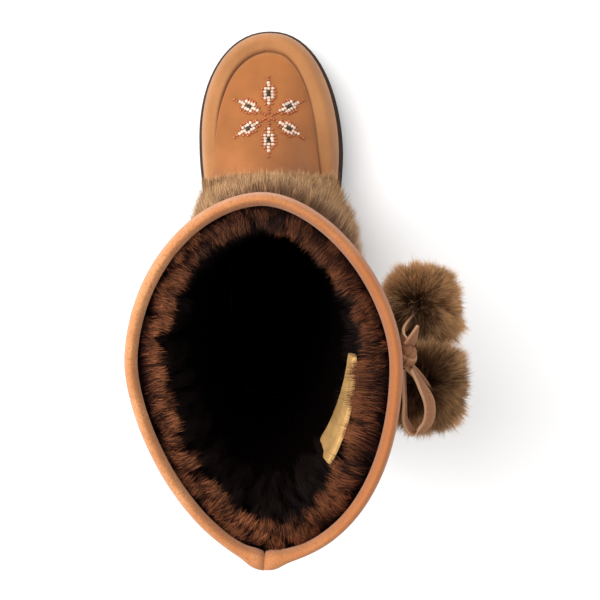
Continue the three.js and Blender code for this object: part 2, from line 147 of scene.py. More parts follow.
class MuklukColours(bpy.types.PropertyGroup):
    """Colours of the leather, fur, rubber, beads and thread."""

    leather: colour("Leather", 0xAE784B, "Nubuck of the foot and the shaft")
    leather_deep: colour("Deep leather", 0x9A5D2F, "Worn and shaded nubuck")
    # Painted shade at the bottom of the moccasin seam.
    seam_shade: colour("Crease", 0x55280F, "Bottom of the moccasin seam")
    binding: colour("Binding", 0xCE9262, "Brushed suede of the collar binding")
    # Also the colour of the painted shade on the binding's outer side.
    binding_deep: colour("Deep binding", 0x98592F, "Hollows of the brushed suede")
    rubber: colour("Rubber", 0x3B2A20, "Outsole")
    # Also the base of the pile that is painted almost black as shade deep in the boot.
    pile_root: colour("Pile root", 0x120605, "Root of the lining's pile")
    pile_body: colour("Pile body", 0x522417, "Middle of the lining's pile")
    pile_tip: colour("Pile tip", 0xB06A42, "Lit tips of the lining's pile")
    fur_root: colour("Fur root", 0x2A1D12, "Root of the grey-brown fur")
    fur_body: colour("Fur body", 0x865B3A, "Middle of the grey-brown fur")
    fur_tip: colour("Fur tip", 0xD0A474, "Golden tips of the grey-brown fur")
    patch: colour("Patch", 0xF6C078, "Suede patch inside the shaft")
    lace: colour("Lace", 0x94664A, "Suede laces")
    lace_edge: colour("Lace edge", 0xC29A78, "Cut edges of the laces")
    bead_pale: colour("Pale bead", 0xDCC2AC, "Pale glass beads")
    bead_dark: colour("Dark bead", 0x14120A, "Dark glass beads")
    bead_copper: colour("Copper bead", 0xB4613A, "Copper beads")
    thread: colour("Thread", 0x8E5A34, "Sewing thread")


# ---- Materials ----


def shaded(value, amount):
    """A colour made darker (below 1) or lighter (above 1)."""
    return tuple(min(1, v * amount) for v in value)


class Value:
    """One output of a node. Arithmetic on it adds Math nodes."""

    def __init__(self, finish, socket):
        self.finish, self.socket = finish, socket

    def maths(self, operation, *values):
        return self.finish.node(
            "Math", {"operation": operation}, dict(enumerate(values))
        )

    def __add__(self, other):
        return self.maths("ADD", self, other)

    def __sub__(self, other):
        return self.maths("SUBTRACT", self, other)

    def __rsub__(self, other):
        return self.maths("SUBTRACT", other, self)

    def __mul__(self, other):
        return self.maths("MULTIPLY", self, other)

    __radd__ = __add__
    __rmul__ = __mul__


class Finish:
    """A procedural material around one Principled shader."""

    def __init__(self, name, **constants):
        self.material = bpy.data.materials.new(name)
        self.material.use_nodes = True
        self.tree = self.material.node_tree
        self.tree.nodes.clear()
        self.shader = self.tree.nodes.new("ShaderNodeBsdfPrincipled")
        output = self.tree.nodes.new("ShaderNodeOutputMaterial")
        self.tree.links.new(self.shader.outputs[0], output.inputs["Surface"])
        for key, value in constants.items():
            socket = key.replace("_", " ").title().replace("Ior", "IOR")
            self.shader.inputs[socket].default_value = value
        self.place = self.node("TexCoord", output="Object")

    def node(self, kind, settings=None, inputs=None, output=0):
        """A new node of any type: settings first, then its inputs' values or links."""
        made = self.tree.nodes.new("ShaderNode" + kind)
        for key, value in (settings or {}).items():
            if key == "stops":
                self.set_stops(made.color_ramp, value)
            else:
                setattr(made, key, value)
        for key, value in (inputs or {}).items():
            self.feed(made.inputs[key], value)
        return Value(self, made.outputs[output])

    def feed(self, socket, value):
        if isinstance(value, Value):
            self.tree.links.new(value.socket, socket)
        elif socket.type == "RGBA":
            socket.default_value = (*value, 1)
        else:
            socket.default_value = value

    @staticmethod
    def set_stops(ramp, stops):
        while len(ramp.elements) < len(stops):
            ramp.elements.new(1)
        for element, (position, value) in zip(ramp.elements, stops):
            element.position = position
            parts = value if hasattr(value, "__len__") else (value,) * 3
            element.color = (*parts, 1)

    def mix(self, factor, first, second):
        return self.node("Mix", {"data_type": "RGBA"}, {0: factor, 6: first, 7: second}, 2)

    def noise(self, scale, detail=3.0, rough=0.55, stretch=None):
        place = self.place
        if stretch:
            place = self.node("Mapping", None, {"Vector": place, "Scale": stretch})
        inputs = {"Vector": place, "Scale": scale, "Detail": detail, "Roughness": rough}
        return self.node("TexNoise", None, inputs)

    def attribute(self, name):
        return self.node("Attribute", {"attribute_name": name}, None, "Fac")

    def ramp(self, factor, *stops):
        return self.node("ValToRGB", {"stops": stops}, {"Fac": factor})

    def tones(self, factor, value, *stops):
        """A ramp in one colour: each stop is a position and a shade of the colour."""
        return self.ramp(factor, *((at, shaded(value, amount)) for at, amount in stops))

    def over(self, base, layer, factor, *stops):
        """A colour laid over another by the shares that a ramp gives."""
        return self.mix(self.ramp(factor, *stops), base, layer)

    def spread(self, value, low, high, start=0.0, end=1.0):
        """A value between start and end brought to between low and high."""
        return self.node("MapRange", None, {0: value, 1: start, 2: end, 3: low, 4: high})

    def axis(self, vector, name):
        return self.node("SeparateXYZ", None, {0: vector}, name)

    def shape(self, height, distance, strength):
        inputs = {"Height": height, "Distance": distance, "Strength": strength}
        self.feed(self.shader.inputs["Normal"], self.node("Bump", None, inputs, "Normal"))

    def paint(self, value, socket="Base Color"):
        self.feed(self.shader.inputs[socket], value)
        return self.material


def nubuck(colours):
    """Tan leather with a fine nap and cloudy wear, worn on the apron, with painted shade in
    its seam, at the lip, in its folds and under the fur.
    """
    finish = Finish("nubuck", roughness=0.88, specular_ior_level=0.25, sheen_weight=0.12)
    grain = finish.noise(1500, 3)
    cloud = finish.noise(26, 4, 0.6)
    streak = finish.noise(90, 3, 0.6, (1, 0.35, 1))
    deep = colours.leather_deep
    base = finish.tones(cloud, colours.leather, (0.32, 0.84), (0.68, 1.1))
    worn = finish.tones(cloud, deep, (0.35, 0.84), (0.66, 1.2))
    base = finish.mix(finish.attribute("apron") * 0.9, base, worn)
    base = finish.over(base, deep, streak, (0.45, 0.0), (0.75, 0.3))
    base = finish.over(base, deep, grain, (0.4, 0.0), (0.8, 0.25))
    # Painted shade: darker at the lip of the sole, in the troughs of the folds and under
    # the fur.
    base = finish.mix(finish.attribute("dusk"), base, shaded(deep, 0.42))
    # Painted shade in the groove of the moccasin seam.
    base = finish.mix(finish.attribute("seam"), base, colours.seam_shade)
    finish.shape(grain * 0.6 + streak * 0.8, 0.0005, 0.55)
    return finish.paint(base)


def brushed_suede(colours):
    """Coarse orange-brown nap with darker hollows, and painted shade on the outer side."""
    finish = Finish(
        "binding_suede", roughness=0.95, specular_ior_level=0.15, sheen_weight=0.2
    )
    nap = finish.noise(950, 5, 0.7)
    fine = finish.noise(2600, 2)
    cloud = finish.noise(60, 4, 0.6)
    light, deep = colours.binding, colours.binding_deep
    base = finish.ramp(
        nap, (0.32, shaded(deep, 1.25)), (0.5, light), (0.72, shaded(light, 1.15))
    )
    base = finish.over(base, shaded(deep, 1.2), cloud, (0.38, 0.5), (0.66, 0.0))
    # Painted shade: the binding is darker towards the outer side of the boot.
    painted_outer_shade = finish.spread(finish.axis(finish.place, "X"), 0.0, 0.85, -0.05, 0.05)
    base = finish.mix(painted_outer_shade, base, shaded(deep, 1.15))
    finish.shape(nap * 0.7 + fine * 0.4, 0.0006, 0.7)
    return finish.paint(base)


def lace_suede(colours):
    """Flat suede lace: a soft nap, with paler cut edges."""
    finish = Finish("lace_suede", roughness=0.95, specular_ior_level=0.15)
    nap = finish.noise(900, 4, 0.6)
    streak = finish.noise(260, 2, 0.5, (0.4, 1, 1))
    base = finish.tones(nap, colours.lace, (0.3, 0.72), (0.7, 1.2))
    base = finish.mix(streak * 0.4, base, shaded(colours.lace, 0.75))
    base = finish.mix(finish.attribute("cut_edge"), base, colours.lace_edge)
    finish.shape(nap, 0.0004, 0.6)
    return finish.paint(base)


RIB_PITCH = 0.0021  # from one rib of the rubber to the next


def rubber(colours):
    """Dark brown moulded rubber, dusty, with fine ribs round its side."""
    finish = Finish("rubber", specular_ior_level=0.4)
    grit = finish.noise(1300, 3)
    dust = finish.noise(60, 4, 0.65)
    base = finish.tones(dust, colours.rubber, (0.35, 0.75), (0.7, 1.35))
    base = finish.mix(grit * 0.3, base, shaded(colours.rubber, 1.7))
    height = finish.axis(finish.place, "Z")
    ribs = height.maths("SINE", height * (tau / RIB_PITCH))
    finish.shape(ribs * 0.25 + grit * 0.35, 0.0005, 0.7)
    finish.paint(finish.spread(dust, 0.6, 0.8), "Roughness")
    return finish.paint(base)


def hair_finish(name, colours, sort, low):
    """Hair coloured along its length (u) and from dark to light hairs (v).

    The darkest hairs keep only a share `low` of the body's colour.
    """
    parts = ("root", "body", "tip")
    root, body, tip = (getattr(colours, f"{sort}_{part}") for part in parts)
    finish = Finish(name, roughness=0.8, specular_ior_level=0.25)
    place = finish.node("UVMap", {"uv_map": "OFBake"})
    along, kind = finish.axis(place, "X"), finish.axis(place, "Y")
    dark = finish.ramp(
        along, (0.0, shaded(root, 0.6)), (0.6, shaded(body, low)),
        (1.0, shaded(body, 1.5 * low)),
    )
    light = finish.ramp(
        along, (0.0, shaded(body, 0.7)), (0.2, shaded(body, 0.95)),
        (0.45, shaded(body, 1.1)), (0.8, tip), (1.0, shaded(tip, 1.2)),
    )
    return finish.paint(finish.over(dark, light, kind, (0.1, 0.0), (0.9, 1.0)))


def dark_pile(colours):
    """The dense pile seen deep in the boot: dark plush, painted almost black as shade."""
    finish = Finish("dark_pile", roughness=1.0, specular_ior_level=0.05)
    tuft = finish.noise(420, 4, 0.7)
    cloud = finish.noise(38, 3)
    base = finish.tones(tuft, colours.pile_root, (0.35, 0.5), (0.75, 2.6))
    base = finish.mix(cloud * 0.6, base, shaded(colours.pile_root, 0.5))
    finish.shape(tuft, 0.003, 1.0)
    return finish.paint(base)


def fur_skin(colours):
    """The skin under the grey-brown fur."""
    finish = Finish("fur_skin", roughness=1.0, specular_ior_level=0.05)
    tuft = finish.noise(500, 3)
    finish.shape(tuft, 0.002, 1.0)
    return finish.paint(finish.tones(tuft, colours.fur_root, (0.3, 0.45), (0.8, 1.3)))


def patch_leather(colours):
    """Ochre split leather, smooth, streaked and cloudy."""
    finish = Finish("patch_leather", roughness=0.7, specular_ior_level=0.35)
    streak = finish.noise(160, 4, 0.6, (1, 1, 0.18))
    cloud = finish.noise(55, 3)
    base = finish.tones(streak, colours.patch, (0.3, 0.72), (0.55, 1.0), (0.75, 1.2))
    base = finish.over(base, shaded(colours.patch, 0.55), cloud, (0.42, 0.0), (0.7, 0.5))
    finish.shape(streak + finish.noise(1400, 2) * 0.4, 0.0005, 0.6)
    return finish.paint(base)


def glass_bead(name, value, metallic=0.0):
    """Glossy seed beads with a little change from bead to bead."""
    finish = Finish(name, roughness=0.22, specular_ior_level=0.7, metallic=metallic)
    change = finish.noise(420, 1)
    return finish.paint(finish.tones(change, value, (0.35, 0.75), (0.65, 1.15)))


def twisted_thread(colours):
    """Waxed thread with a fine twist."""
    finish = Finish("twisted_thread", roughness=0.7)
    twist = finish.noise(2400, 2, 0.5, (1, 1, 0.4))
    finish.shape(twist, 0.0003, 0.8)
    return finish.paint(finish.tones(twist, colours.thread, (0.3, 0.6), (0.7, 1.2)))


# ---- Meshes ----


def cad_copy(node, *layers):
    """A bmesh of a CAD node, with its loose triangles merged and new number layers."""
    bm = bmesh.new()
    bm.from_mesh(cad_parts[node].data)
    for key in layers:
        bm.verts.layers.float.new(key)
    bmesh.ops.remove_doubles(bm, verts=bm.verts, dist=2e-6)
    return bm


def join_to_quads(bm, degrees=50):
    limit = radians(degrees)
    bmesh.ops.join_triangles(
        bm, faces=bm.faces, angle_face_threshold=limit, angle_shape_threshold=limit
    )


def flat_copy(node, degrees):
    """A copy of a CAD node whose flat sides are single faces."""
    bm = cad_copy(node)
    bmesh.ops.dissolve_limit(
        bm, angle_limit=radians(degrees), verts=bm.verts, edges=bm.edges
    )
    return bm


def finer_copy(node, cuts, smooth):
    """A copy of a CAD node in smoothed quads."""
    bm = cad_copy(node)
    join_to_quads(bm)
    bmesh.ops.subdivide_edges(
        bm, edges=bm.edges, cuts=cuts, smooth=smooth, use_grid_fill=True
    )
    return bm


def new_mesh(name, bm):
    mesh = bpy.data.meshes.new(name)
    bm.to_mesh(mesh)
    bm.free()
    if "custom_normal" in mesh.attributes:
        mesh.attributes.remove(mesh.attributes["custom_normal"])
    return mesh


def piece(name, shape, slot, *materials, nodes=(), sharp=40):
    """A finished piece that rides on the boot, made from a mesh or a bmesh.

    Edges that turn by more than `sharp` degrees stay sharp.
    """
    mesh = new_mesh(name, shape) if isinstance(shape, bmesh.types.BMesh) else shape
    obj = bpy.data.objects.new(name, mesh)
    bpy.context.scene.collection.objects.link(obj)
    for material in materials:
        mesh.materials.append(material)
    mesh.polygons.foreach_set("use_smooth", [True] * len(mesh.polygons))
    if sharp:
        mesh.set_sharp_from_angle(angle=radians(sharp))
    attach(obj, BODY)
    if nodes:
        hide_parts(*nodes)
    return obj


def subdivide(obj, levels):
    modifier = obj.modifiers.new("subdivision", "SUBSURF")
    modifier.levels = modifier.render_levels = levels


def round_edges(obj, width, segments, degrees=30):
    """Rounds the edges that turn by more than an angle."""
    modifier = obj.modifiers.new("rounded_edges", "BEVEL")
    modifier.width, modifier.segments, modifier.limit_method = width, segments, "ANGLE"
    modifier.angle_limit = radians(degrees)


def mesh_from(name, points, corners, sizes):
    """One mesh of many small repeated shapes, from arrays."""
    mesh = bpy.data.meshes.new(name)
    mesh.vertices.add(len(points))
    mesh.vertices.foreach_set("co", points.astype(np.float32).ravel())
    mesh.loops.add(len(corners))
    mesh.loops.foreach_set("vertex_index", corners.astype(np.int32))
    starts = np.concatenate([[0], np.cumsum(sizes)[:-1]])
    mesh.polygons.add(len(sizes))
    mesh.polygons.foreach_set("loop_start", starts.astype(np.int32))
    mesh.update(calc_edges=True)
    mesh.validate()
    return mesh


def unit(v):
    return v / np.maximum(np.linalg.norm(v, axis=-1, keepdims=True), 1e-12)


# ---- The upper's grid of sections ----


def straight_on(vert, edge):
    """The edge on the other side of a vertex with six edges."""
    loop = next(l for l in edge.link_loops if l.vert == vert)
    for _ in range(3):
        loop = loop.link_loop_prev.link_loop_radial_next
    return loop.edge


def walk(vert, edge, limit):
    """The vertices of a straight closed line, or None if it is longer than the limit."""
    line = [vert]
    while len(line) <= limit:
        vert = edge.other_vert(vert)
        if vert == line[0]:
            return line
        line.append(vert)
        edge = straight_on(vert, edge)
    return None


def lines_from(vert, size, limit):
    lines = [walk(vert, edge, limit) for edge in vert.link_edges]
    return [line for line in lines if line and len(line) == size]


def net_of(bm, around, through, outside):
    """The vertices of a closed band as an array [column, ring].

    Column 0 is at the toe and the next ones go round the outer side. The first `outside`
    rings go up the outer surface, and the rest come down inside.
    """
    bm.verts.ensure_lookup_table()
    limit = max(around, through)
    section = lines_from(bm.verts[0], through, limit)[0]
    rings = []
    for vert in section:
        found = lines_from(vert, around, limit)
        if rings:  # the same way round as the ring before it
            found = [line for line in found if bm.edges.get((line[1], rings[-1][1]))]
        rings.append(found[0])
    net = np.empty((around, through), object)
    for i, ring in enumerate(rings):
        for j, vert in enumerate(ring):
            net[j, i] = vert

    # The faces' winding tells which way the rings go.
    loop = next(l for l in net[0, 0].link_loops if l.link_loop_next.vert == net[0, 1])
    if loop.link_loop_prev.vert not in (net[1, 1], net[1, 0]):
        net = net[:, ::-1]
    net = started(net, outside)
    quarter = around // 4
    if net[quarter - 1, 0].co.x < net[-quarter, 0].co.x:
        # Mirrored in both directions, the winding stays.
        net = started(net[::-1, ::-1], outside)
    return net


def started(net, outside):
    """A net turned to start at the toe and at the lowest outer ring."""
    z = np.array([np.mean([v.co.z for v in ring]) for ring in net.T])
    rise = np.roll(z, 1 - outside) + np.roll(z, -outside) - z - np.roll(z, 1)
    net = np.roll(net, -int(np.argmax(rise)), axis=1)
    return np.roll(net, -int(np.argmax([v.co.y for v in net[:, outside - 1]])), axis=0)


def places_of(net):
    flat = np.array([v.co for v in net.ravel()])
    return flat.reshape(*net.shape, 3)


def curve_shares(t):
    """Shares of four points in a row at a place between the middle two."""
    return (
        0.5 * (-t + 2 * t**2 - t**3),
        0.5 * (2 - 5 * t**2 + 3 * t**3),
        0.5 * (t + 4 * t**2 - 3 * t**3),
        0.5 * (t**3 - t**2),
    )


def read_grid(grid, column, ring):
    """Points of a grid [column, ring] at fractional places, on a smooth surface."""
    first = 2 * grid[:, :1] - grid[:, 1:2]
    last = 2 * grid[:, -1:] - grid[:, -2:-1]
    wide = np.concatenate([first, grid, last], axis=1)
    column, ring = np.broadcast_arrays(np.asarray(column, float), ring)
    c0 = np.floor(column).astype(int)
    r0 = np.clip(np.floor(ring).astype(int), 0, grid.shape[1] - 2)
    total = 0
    for a, across in enumerate(curve_shares(column - c0)):
        for b, along in enumerate(curve_shares(ring - r0)):
            points = wide[(c0 + a - 1) % grid.shape[0], r0 + b]
            total = total + (across * along)[..., None] * points
    return total


def outward(grid, column, ring, step=0.06):
    """Unit normals of the outer grid at fractional places."""
    last = grid.shape[1] - 1
    low, high = np.clip(ring - step, 0, last), np.clip(ring + step, 0, last)
    up = read_grid(grid, column, high) - read_grid(grid, column, low)
    along = read_grid(grid, column + step, ring) - read_grid(grid, column - step, ring)
    return unit(np.cross(up, along))


def ring_of_row(row):
    return np.where(row <= ANKLE, 2 * row, ANKLE + row)


def row_of_ring(ring):
    return np.where(ring <= 2 * ANKLE, ring / 2, ring - ANKLE)


# Folds of the leather. Angles are in degrees round the boot from the toe over the outer
# side, heights and sizes in millimetres. A fold's line tilts by `tilt` over its reach.
SHAFT_FOLDS = table(
    "height angle reach tilt width depth",
    (196, 178, 62, 7, 6.0, 2.7),
    (214, 232, 44, -6, 5.5, 2.2),
    (218, 128, 46, 5, 6.0, 2.3),
    (238, 192, 50, -5, 7.0, 2.5),
    (190, 60, 34, 6, 5.0, 2.0),
    (206, 300, 36, -6, 5.5, 2.1),
    (232, 20, 48, 4, 6.5, 2.2),
    (258, 250, 40, 6, 8.0, 1.9),
    (262, 95, 38, -7, 8.0, 1.9),
    (278, 160, 44, 5, 9.0, 1.5),
    (252, 330, 34, -6, 7.0, 1.7),
    (184, 352, 40, 3, 5.0, 1.9),
)
VAMP_FOLDS = table(
    "along across reach tilt width depth",
    (38, -12, 17, 2.5, 2.2, 0.35),
    (46, 14, 15, -2.0, 2.0, 0.3),
    (31, 8, 22, 1.5, 2.6, 0.45),
    (54, -6, 12, 1.0, 1.8, 0.2),
)
VAMP_BOW = 0.004  # how much the vamp's folds bow, per millimetre off their middle
VAMP_TOP = 100  # height up to which they reach
LIP_HOLLOW = 0.0006  # the foot is drawn in above the lip of the sole, in metres
BACK_SEAM = {"depth": 0.0009, "width": 0.16}  # in metres and in columns
SHAFT_SWELL = 0.0006  # unevenness of the soft shaft, in metres


def fold(distance, width):
    """A soft trough with a ridge beside it."""
    return bell(distance - 1.3 * width, width) * 0.5 - bell(distance, width)


def faded(off, reach):
    """A fold's share at a distance from its middle, 0 past its reach."""
    return np.where(np.abs(off) < reach, np.cos(radians(90) * off / reach) ** 2, 0)


def folds_at(points, angle):
    """How far the leather stands out (or in, below 0) for its folds, in metres."""
    x, y, z = (points[..., k] / MM for k in range(3))
    degrees = np.degrees(angle) % 360
    total = np.zeros(x.shape)
    for f in SHAFT_FOLDS:
        off = (degrees - f["angle"] + 180) % 360 - 180
        line = z - f["height"] - f["tilt"] * np.sin(radians(90) * off / f["reach"])
        total += f["depth"] * faded(off, f["reach"]) * fold(line, f["width"])
    for f in VAMP_FOLDS:
        off = x - f["across"]
        line = y - f["along"] - f["tilt"] * off / f["reach"] - VAMP_BOW * off**2
        on_vamp = z < VAMP_TOP
        total += f["depth"] * faded(off, f["reach"]) * fold(line, f["width"]) * on_vamp
    return total * MM


def drape_at(points, angle):
    """Broad unevenness of the soft shaft, in metres."""
    z = points[..., 2] / MM
    wave = (
        np.sin(2 * angle + z / 31 + 0.7)
        + 0.7 * np.sin(3 * angle - z / 22 + 2.1)
        + 0.5 * np.sin(5 * angle + z / 17 + 4.0)
    )
    return SHAFT_SWELL * wave * smooth_step(120, 200, z) * (1 - smooth_step(292, 305, z))


class Upper:
    """The upper's outer and inner surface, with the leather's relief."""

    def __init__(self, net):
        grid = places_of(net)
        self.outer = grid[:, :OUTER_RINGS]
        self.inner = grid[:, OUTER_RINGS:]

    def front(self, points):
        return smooth_step(9, 49, points[..., 1] / MM)

    def seam(self, column, ring, points):
        """How much of the moccasin seam is at a place, from 0 to 1."""
        sizes = bpy.context.scene.mukluk_sizes
        low, high = (
            read_grid(self.outer, column, np.clip(ring + step, 0, OUTER_RINGS - 1))
            for step in (-0.5, 0.5)
        )
        pitch = np.linalg.norm(high - low, axis=-1)
        distance = (ring - 2 * SEAM_ROW) * pitch
        angle = tau * column / COLUMNS
        crisp = 0.72 - 0.28 * np.sin(angle)  # sharper on the inner side
        return bell(distance, sizes.seam_width) * self.front(points) * crisp

    def skin(self, column, ring):
        """Points of the finished outer surface, and its normals before the relief."""
        sizes = bpy.context.scene.mukluk_sizes
        column, ring = np.broadcast_arrays(np.asarray(column, float), ring)
        points = read_grid(self.outer, column, ring)
        normals = outward(self.outer, column, ring)
        angle = tau * column / COLUMNS
        row = row_of_ring(ring)
        relief = folds_at(points, angle) + drape_at(points, angle)
        relief = relief - sizes.seam_depth * self.seam(column, ring, points)
        relief = relief - LIP_HOLLOW * bell(row, 1.3)
        toe = 0.35 + 0.65 * smooth_step(0, 90, points[..., 1] / MM)
        gathers = np.cos(sizes.gathers * angle) * bell(row, 0.75) * toe
        relief = relief + sizes.gather_depth * gathers * smooth_step(0, 0.3, row + 0.2)
        back = bell(np.minimum(np.abs(column - BACK_COLUMN), 1), BACK_SEAM["width"])
        above_fur = smooth_step(150, 170, points[..., 2] / MM)
        relief = relief - BACK_SEAM["depth"] * back * above_fur
        return points + normals * relief[..., None], normals

    def lining(self, column, depth):
        """Points of the backing of the pile, at a fractional place from the collar down."""
        points = read_grid(self.inner, column, depth)
        row = np.interp(depth, range(len(INNER_ROWS)), INNER_ROWS)
        skin = read_grid(self.outer, column, ring_of_row(row))
        gap = np.linalg.norm(skin - points, axis=-1)
        hide = bpy.context.scene.mukluk_sizes.hide
        toward = np.clip(1 - hide / np.maximum(gap, 1e-6), 0, 1)
        toward = toward * smooth_step(205, 250, points[..., 2] / MM)
        return points + (skin - points) * toward[..., None]


NET_LAYERS = ("column_x", "column_y", "ring_x", "ring_y")
RING_CUTS = 7  # new columns between two of the CAD's
ROW_CUTS = 3  # new rings between two of the CAD's on the foot
SHAFT_CUTS = 6  # and on the shaft
# Shares of painted shade on the leather at the lip of the sole, in the troughs of folds and
# under the fur, and the depth in metres at which a trough has all of it.
PAINTED_SHADE = {"lip": 0.35, "troughs": 0.22, "under_fur": 0.32, "full_depth": 0.0016}


def mark_places(bm, net):
    """Writes each vertex's column and ring as angles, which may be blended as they wrap."""
    layers = [bm.verts.layers.float[key] for key in NET_LAYERS]
    for (c, i), vert in np.ndenumerate(net):
        a, b = tau * c / COLUMNS, tau * i / UPPER_RINGS
        for layer, value in zip(layers, (np.cos(a), np.sin(a), np.cos(b), np.sin(b))):
            vert[layer] = value


def ring_at(bm, vert):
    x, y = (vert[bm.verts.layers.float[key]] for key in ("ring_x", "ring_y"))
    return np.arctan2(y, x) / tau * UPPER_RINGS % UPPER_RINGS


def cut_net(bm, net):
    """Subdivides the upper's net, finest on the shaft and coarsest inside."""
    round_edges, up_edges = [], []
    for (c, i), vert in np.ndenumerate(net):
        round_edges.append(bm.edges.get((vert, net[(c + 1) % COLUMNS, i])))
        up_edges.append(bm.edges.get((vert, net[c, (i + 1) % UPPER_RINGS])))
    kept = set(round_edges + up_edges)
    bmesh.ops.dissolve_edges(bm, edges=[e for e in bm.edges if e not in kept])
    bmesh.ops.subdivide_edges(bm, edges=round_edges, cuts=RING_CUTS, use_grid_fill=True)
    bands = {}
    rings = {v: ring_at(bm, v) for v in bm.verts}
    for e in bm.edges:
        a, b = (rings[v] for v in e.verts)
        apart = abs(a - b)
        if min(apart, UPPER_RINGS - apart) > 0.5:
            low = min(a, b) if apart < UPPER_RINGS / 2 else max(a, b)
            bands.setdefault(int(round(low)) % UPPER_RINGS, []).append(e)
    for low, edges in bands.items():
        if low < 2 * ANKLE:
            cuts = ROW_CUTS
        else:
            cuts = SHAFT_CUTS if low < OUTER_RINGS - 1 else 1
        bmesh.ops.subdivide_edges(bm, edges=edges, cuts=cuts, use_grid_fill=True)


def number_layer(mesh, key):
    values = np.zeros(len(mesh.vertices), np.float32)
    mesh.attributes[key].data.foreach_get("value", values)
    return values.astype(float)


def fine_upper_mesh(bm, net, upper):
    """Subdivides the upper's net and lays its points on the smooth surface."""
    mark_places(bm, net)
    cut_net(bm, net)
    for face in bm.faces:
        around = [ring_at(bm, v) for v in face.verts]
        wraps = max(around) - min(around) > 5  # from the last ring to the first
        face.material_index = int(wraps or min(around) > OUTER_RINGS - 0.51)
    mesh = new_mesh("upper_skin", bm)
    column_x, column_y, ring_x, ring_y = (number_layer(mesh, key) for key in NET_LAYERS)
    column = np.arctan2(column_y, column_x) / tau * COLUMNS % COLUMNS
    ring = np.arctan2(ring_y, ring_x) / tau * UPPER_RINGS % UPPER_RINGS
    ring = np.where(ring > UPPER_RINGS - 1e-3, 0, ring)
    top, bottom = OUTER_RINGS - 1, UPPER_RINGS - 1
    on_outer = np.where(ring > bottom, 0, np.clip(ring, 0, top))
    outer_points, _ = upper.skin(column, on_outer)
    on_inner = np.clip(ring - OUTER_RINGS, 0, bottom - OUTER_RINGS)
    inner_points = upper.lining(column, on_inner)
    rim = np.clip(ring - top, 0, 1)
    edge = np.clip(ring - bottom, 0, 1)
    inward = np.where(ring <= bottom, rim, 1 - edge)[:, None]
    points = outer_points * (1 - inward) + inner_points * inward
    mesh.vertices.foreach_set("co", points.astype(np.float32).ravel())
    for key, values in leather_masks(upper, column, ring).items():
        layer = mesh.attributes.new(key, "FLOAT", "POINT")
        layer.data.foreach_set("value", (values * (ring <= top)).astype(np.float32))
    for key in NET_LAYERS:
        mesh.attributes.remove(mesh.attributes[key])
    mesh.update()
    return mesh


def leather_masks(upper, column, ring):
    """Where the leather is the seam (painted shade in its groove), the apron, or in painted
    shade at the lip, in folds and under the fur.
    """
    ring = np.clip(ring, 0, OUTER_RINGS - 1)
    base = read_grid(upper.outer, column, ring)
    x, y, z = (base[:, k] / MM for k in range(3))
    row = row_of_ring(ring)
    troughs = np.clip(-folds_at(base, tau * column / COLUMNS) / PAINTED_SHADE["full_depth"], 0, 1)
    under_fur = (1 - smooth_step(28, 88, y)) * smooth_step(-34, 26, x) * (z < 110)
    under_fur = under_fur * upper.front(base + np.array([0, 0.012, 0]))
    return {
        "seam": np.minimum(1.15 * upper.seam(column, ring, base), 0.95),
        "apron": smooth_step(SEAM_ROW, SEAM_ROW + 0.3, row) * upper.front(base),
        "dusk": PAINTED_SHADE["lip"] * bell(row, 0.4)
        + PAINTED_SHADE["troughs"] * troughs
        + PAINTED_SHADE["under_fur"] * under_fur,
    }


# ---- Hair ----


MIDDLE = 0.52  # where a hair bends, as a share of its length


def hairs(name, roots, tips, bend, wide, width, kind, slot, material):
    """Many tapered hairs as one mesh. Each bends through a middle point."""
    number = len(roots)
    middle = roots + (tips - roots) * MIDDLE + bend
    side = unit(wide) * (width / 2)[:, None]
    points = np.stack(
        [roots - side, roots + side, middle + side * 0.8, middle - side * 0.8, tips], axis=1
    )
    corners = (np.arange(number)[:, None] * 5 + np.array([0, 1, 2, 3, 3, 2, 4])).ravel()
    mesh = mesh_from(name, points.reshape(-1, 3), corners, np.tile([4, 3], number))
    u = np.tile([0, 0, MIDDLE, MIDDLE, MIDDLE, MIDDLE, 1], number)
    across = np.tile([-1, 1, 1, -1, -1, 1, 0], number) * 0.004
    v = np.clip(np.repeat(kind, 7), 0.01, 0.99) + across
    layer = mesh.uv_layers.new(name="OFBake")
    layer.data.foreach_set("uv", np.stack([u, v], axis=1).astype(np.float32).ravel())
    return piece(name, mesh, slot, material, sharp=None)


def clump(tips, cell, pull):
    """Draws the tips in each cell towards their middle."""
    number = int(cell.max()) + 1
    amount = np.maximum(np.bincount(cell, minlength=number), 1)
    middle = np.stack(
        [np.bincount(cell, tips[:, k], number) / amount for k in range(3)], axis=1
    )
    return tips + (middle[cell] - tips) * pull[:, None]


# What chance does in each coat of hair: how far tips are strewn, how much a lock draws
# them together (the least as a share of the most, and the most), how far hairs bend and
# turn, and their widths as shares of the hair width. Lengths are in metres.
COATS = dict(zip(("pile", "fur", "pompom"), table(
    "strewn drawn bend turn width",
    (0.0011, (0.2, 0.18), 0.0004, 0.35, (0.7, 1.25)),
    (0.0014, (0, 0.22), 0.0005, 0.4, (0.7, 1.3)),
    (0.0011, (0, 0.16), 0.0007, 1, (0.8, 1.4)),
)))


def strew(random, sort, tips, locks):
    """The tips, bends, turns and widths that chance gives a coat's hairs."""
    coat, number = COATS[sort], len(tips)
    least, most = coat["drawn"]
    tips = tips + random.normal(0, coat["strewn"], tips.shape)
    tips = clump(tips, locks, most * random.uniform(least, 1, number))
    bend = random.normal(0, coat["bend"], tips.shape)
    turn = random.normal(0, coat["turn"], tips.shape)
    hair_width = bpy.context.scene.mukluk_sizes.hair_width
    return tips, bend, turn, hair_width * random.uniform(*coat["width"], number)


def cells(first, second, first_count, second_count):
    """A clump number for each place on a surface with two coordinates from 0 to 1."""
    a = np.floor(first * first_count + 0.35 * np.sin(second * 37)).astype(int)
    b = np.floor(second * second_count + 0.35 * np.sin(first * 61)).astype(int)
    a, b = a % first_count, np.clip(b, 0, second_count - 1)
    return a * second_count + b


# ---- Laces ----


def blend(a, b, start, end, s):
    return ((end - s) * a + (s - start) * b) / (end - start)


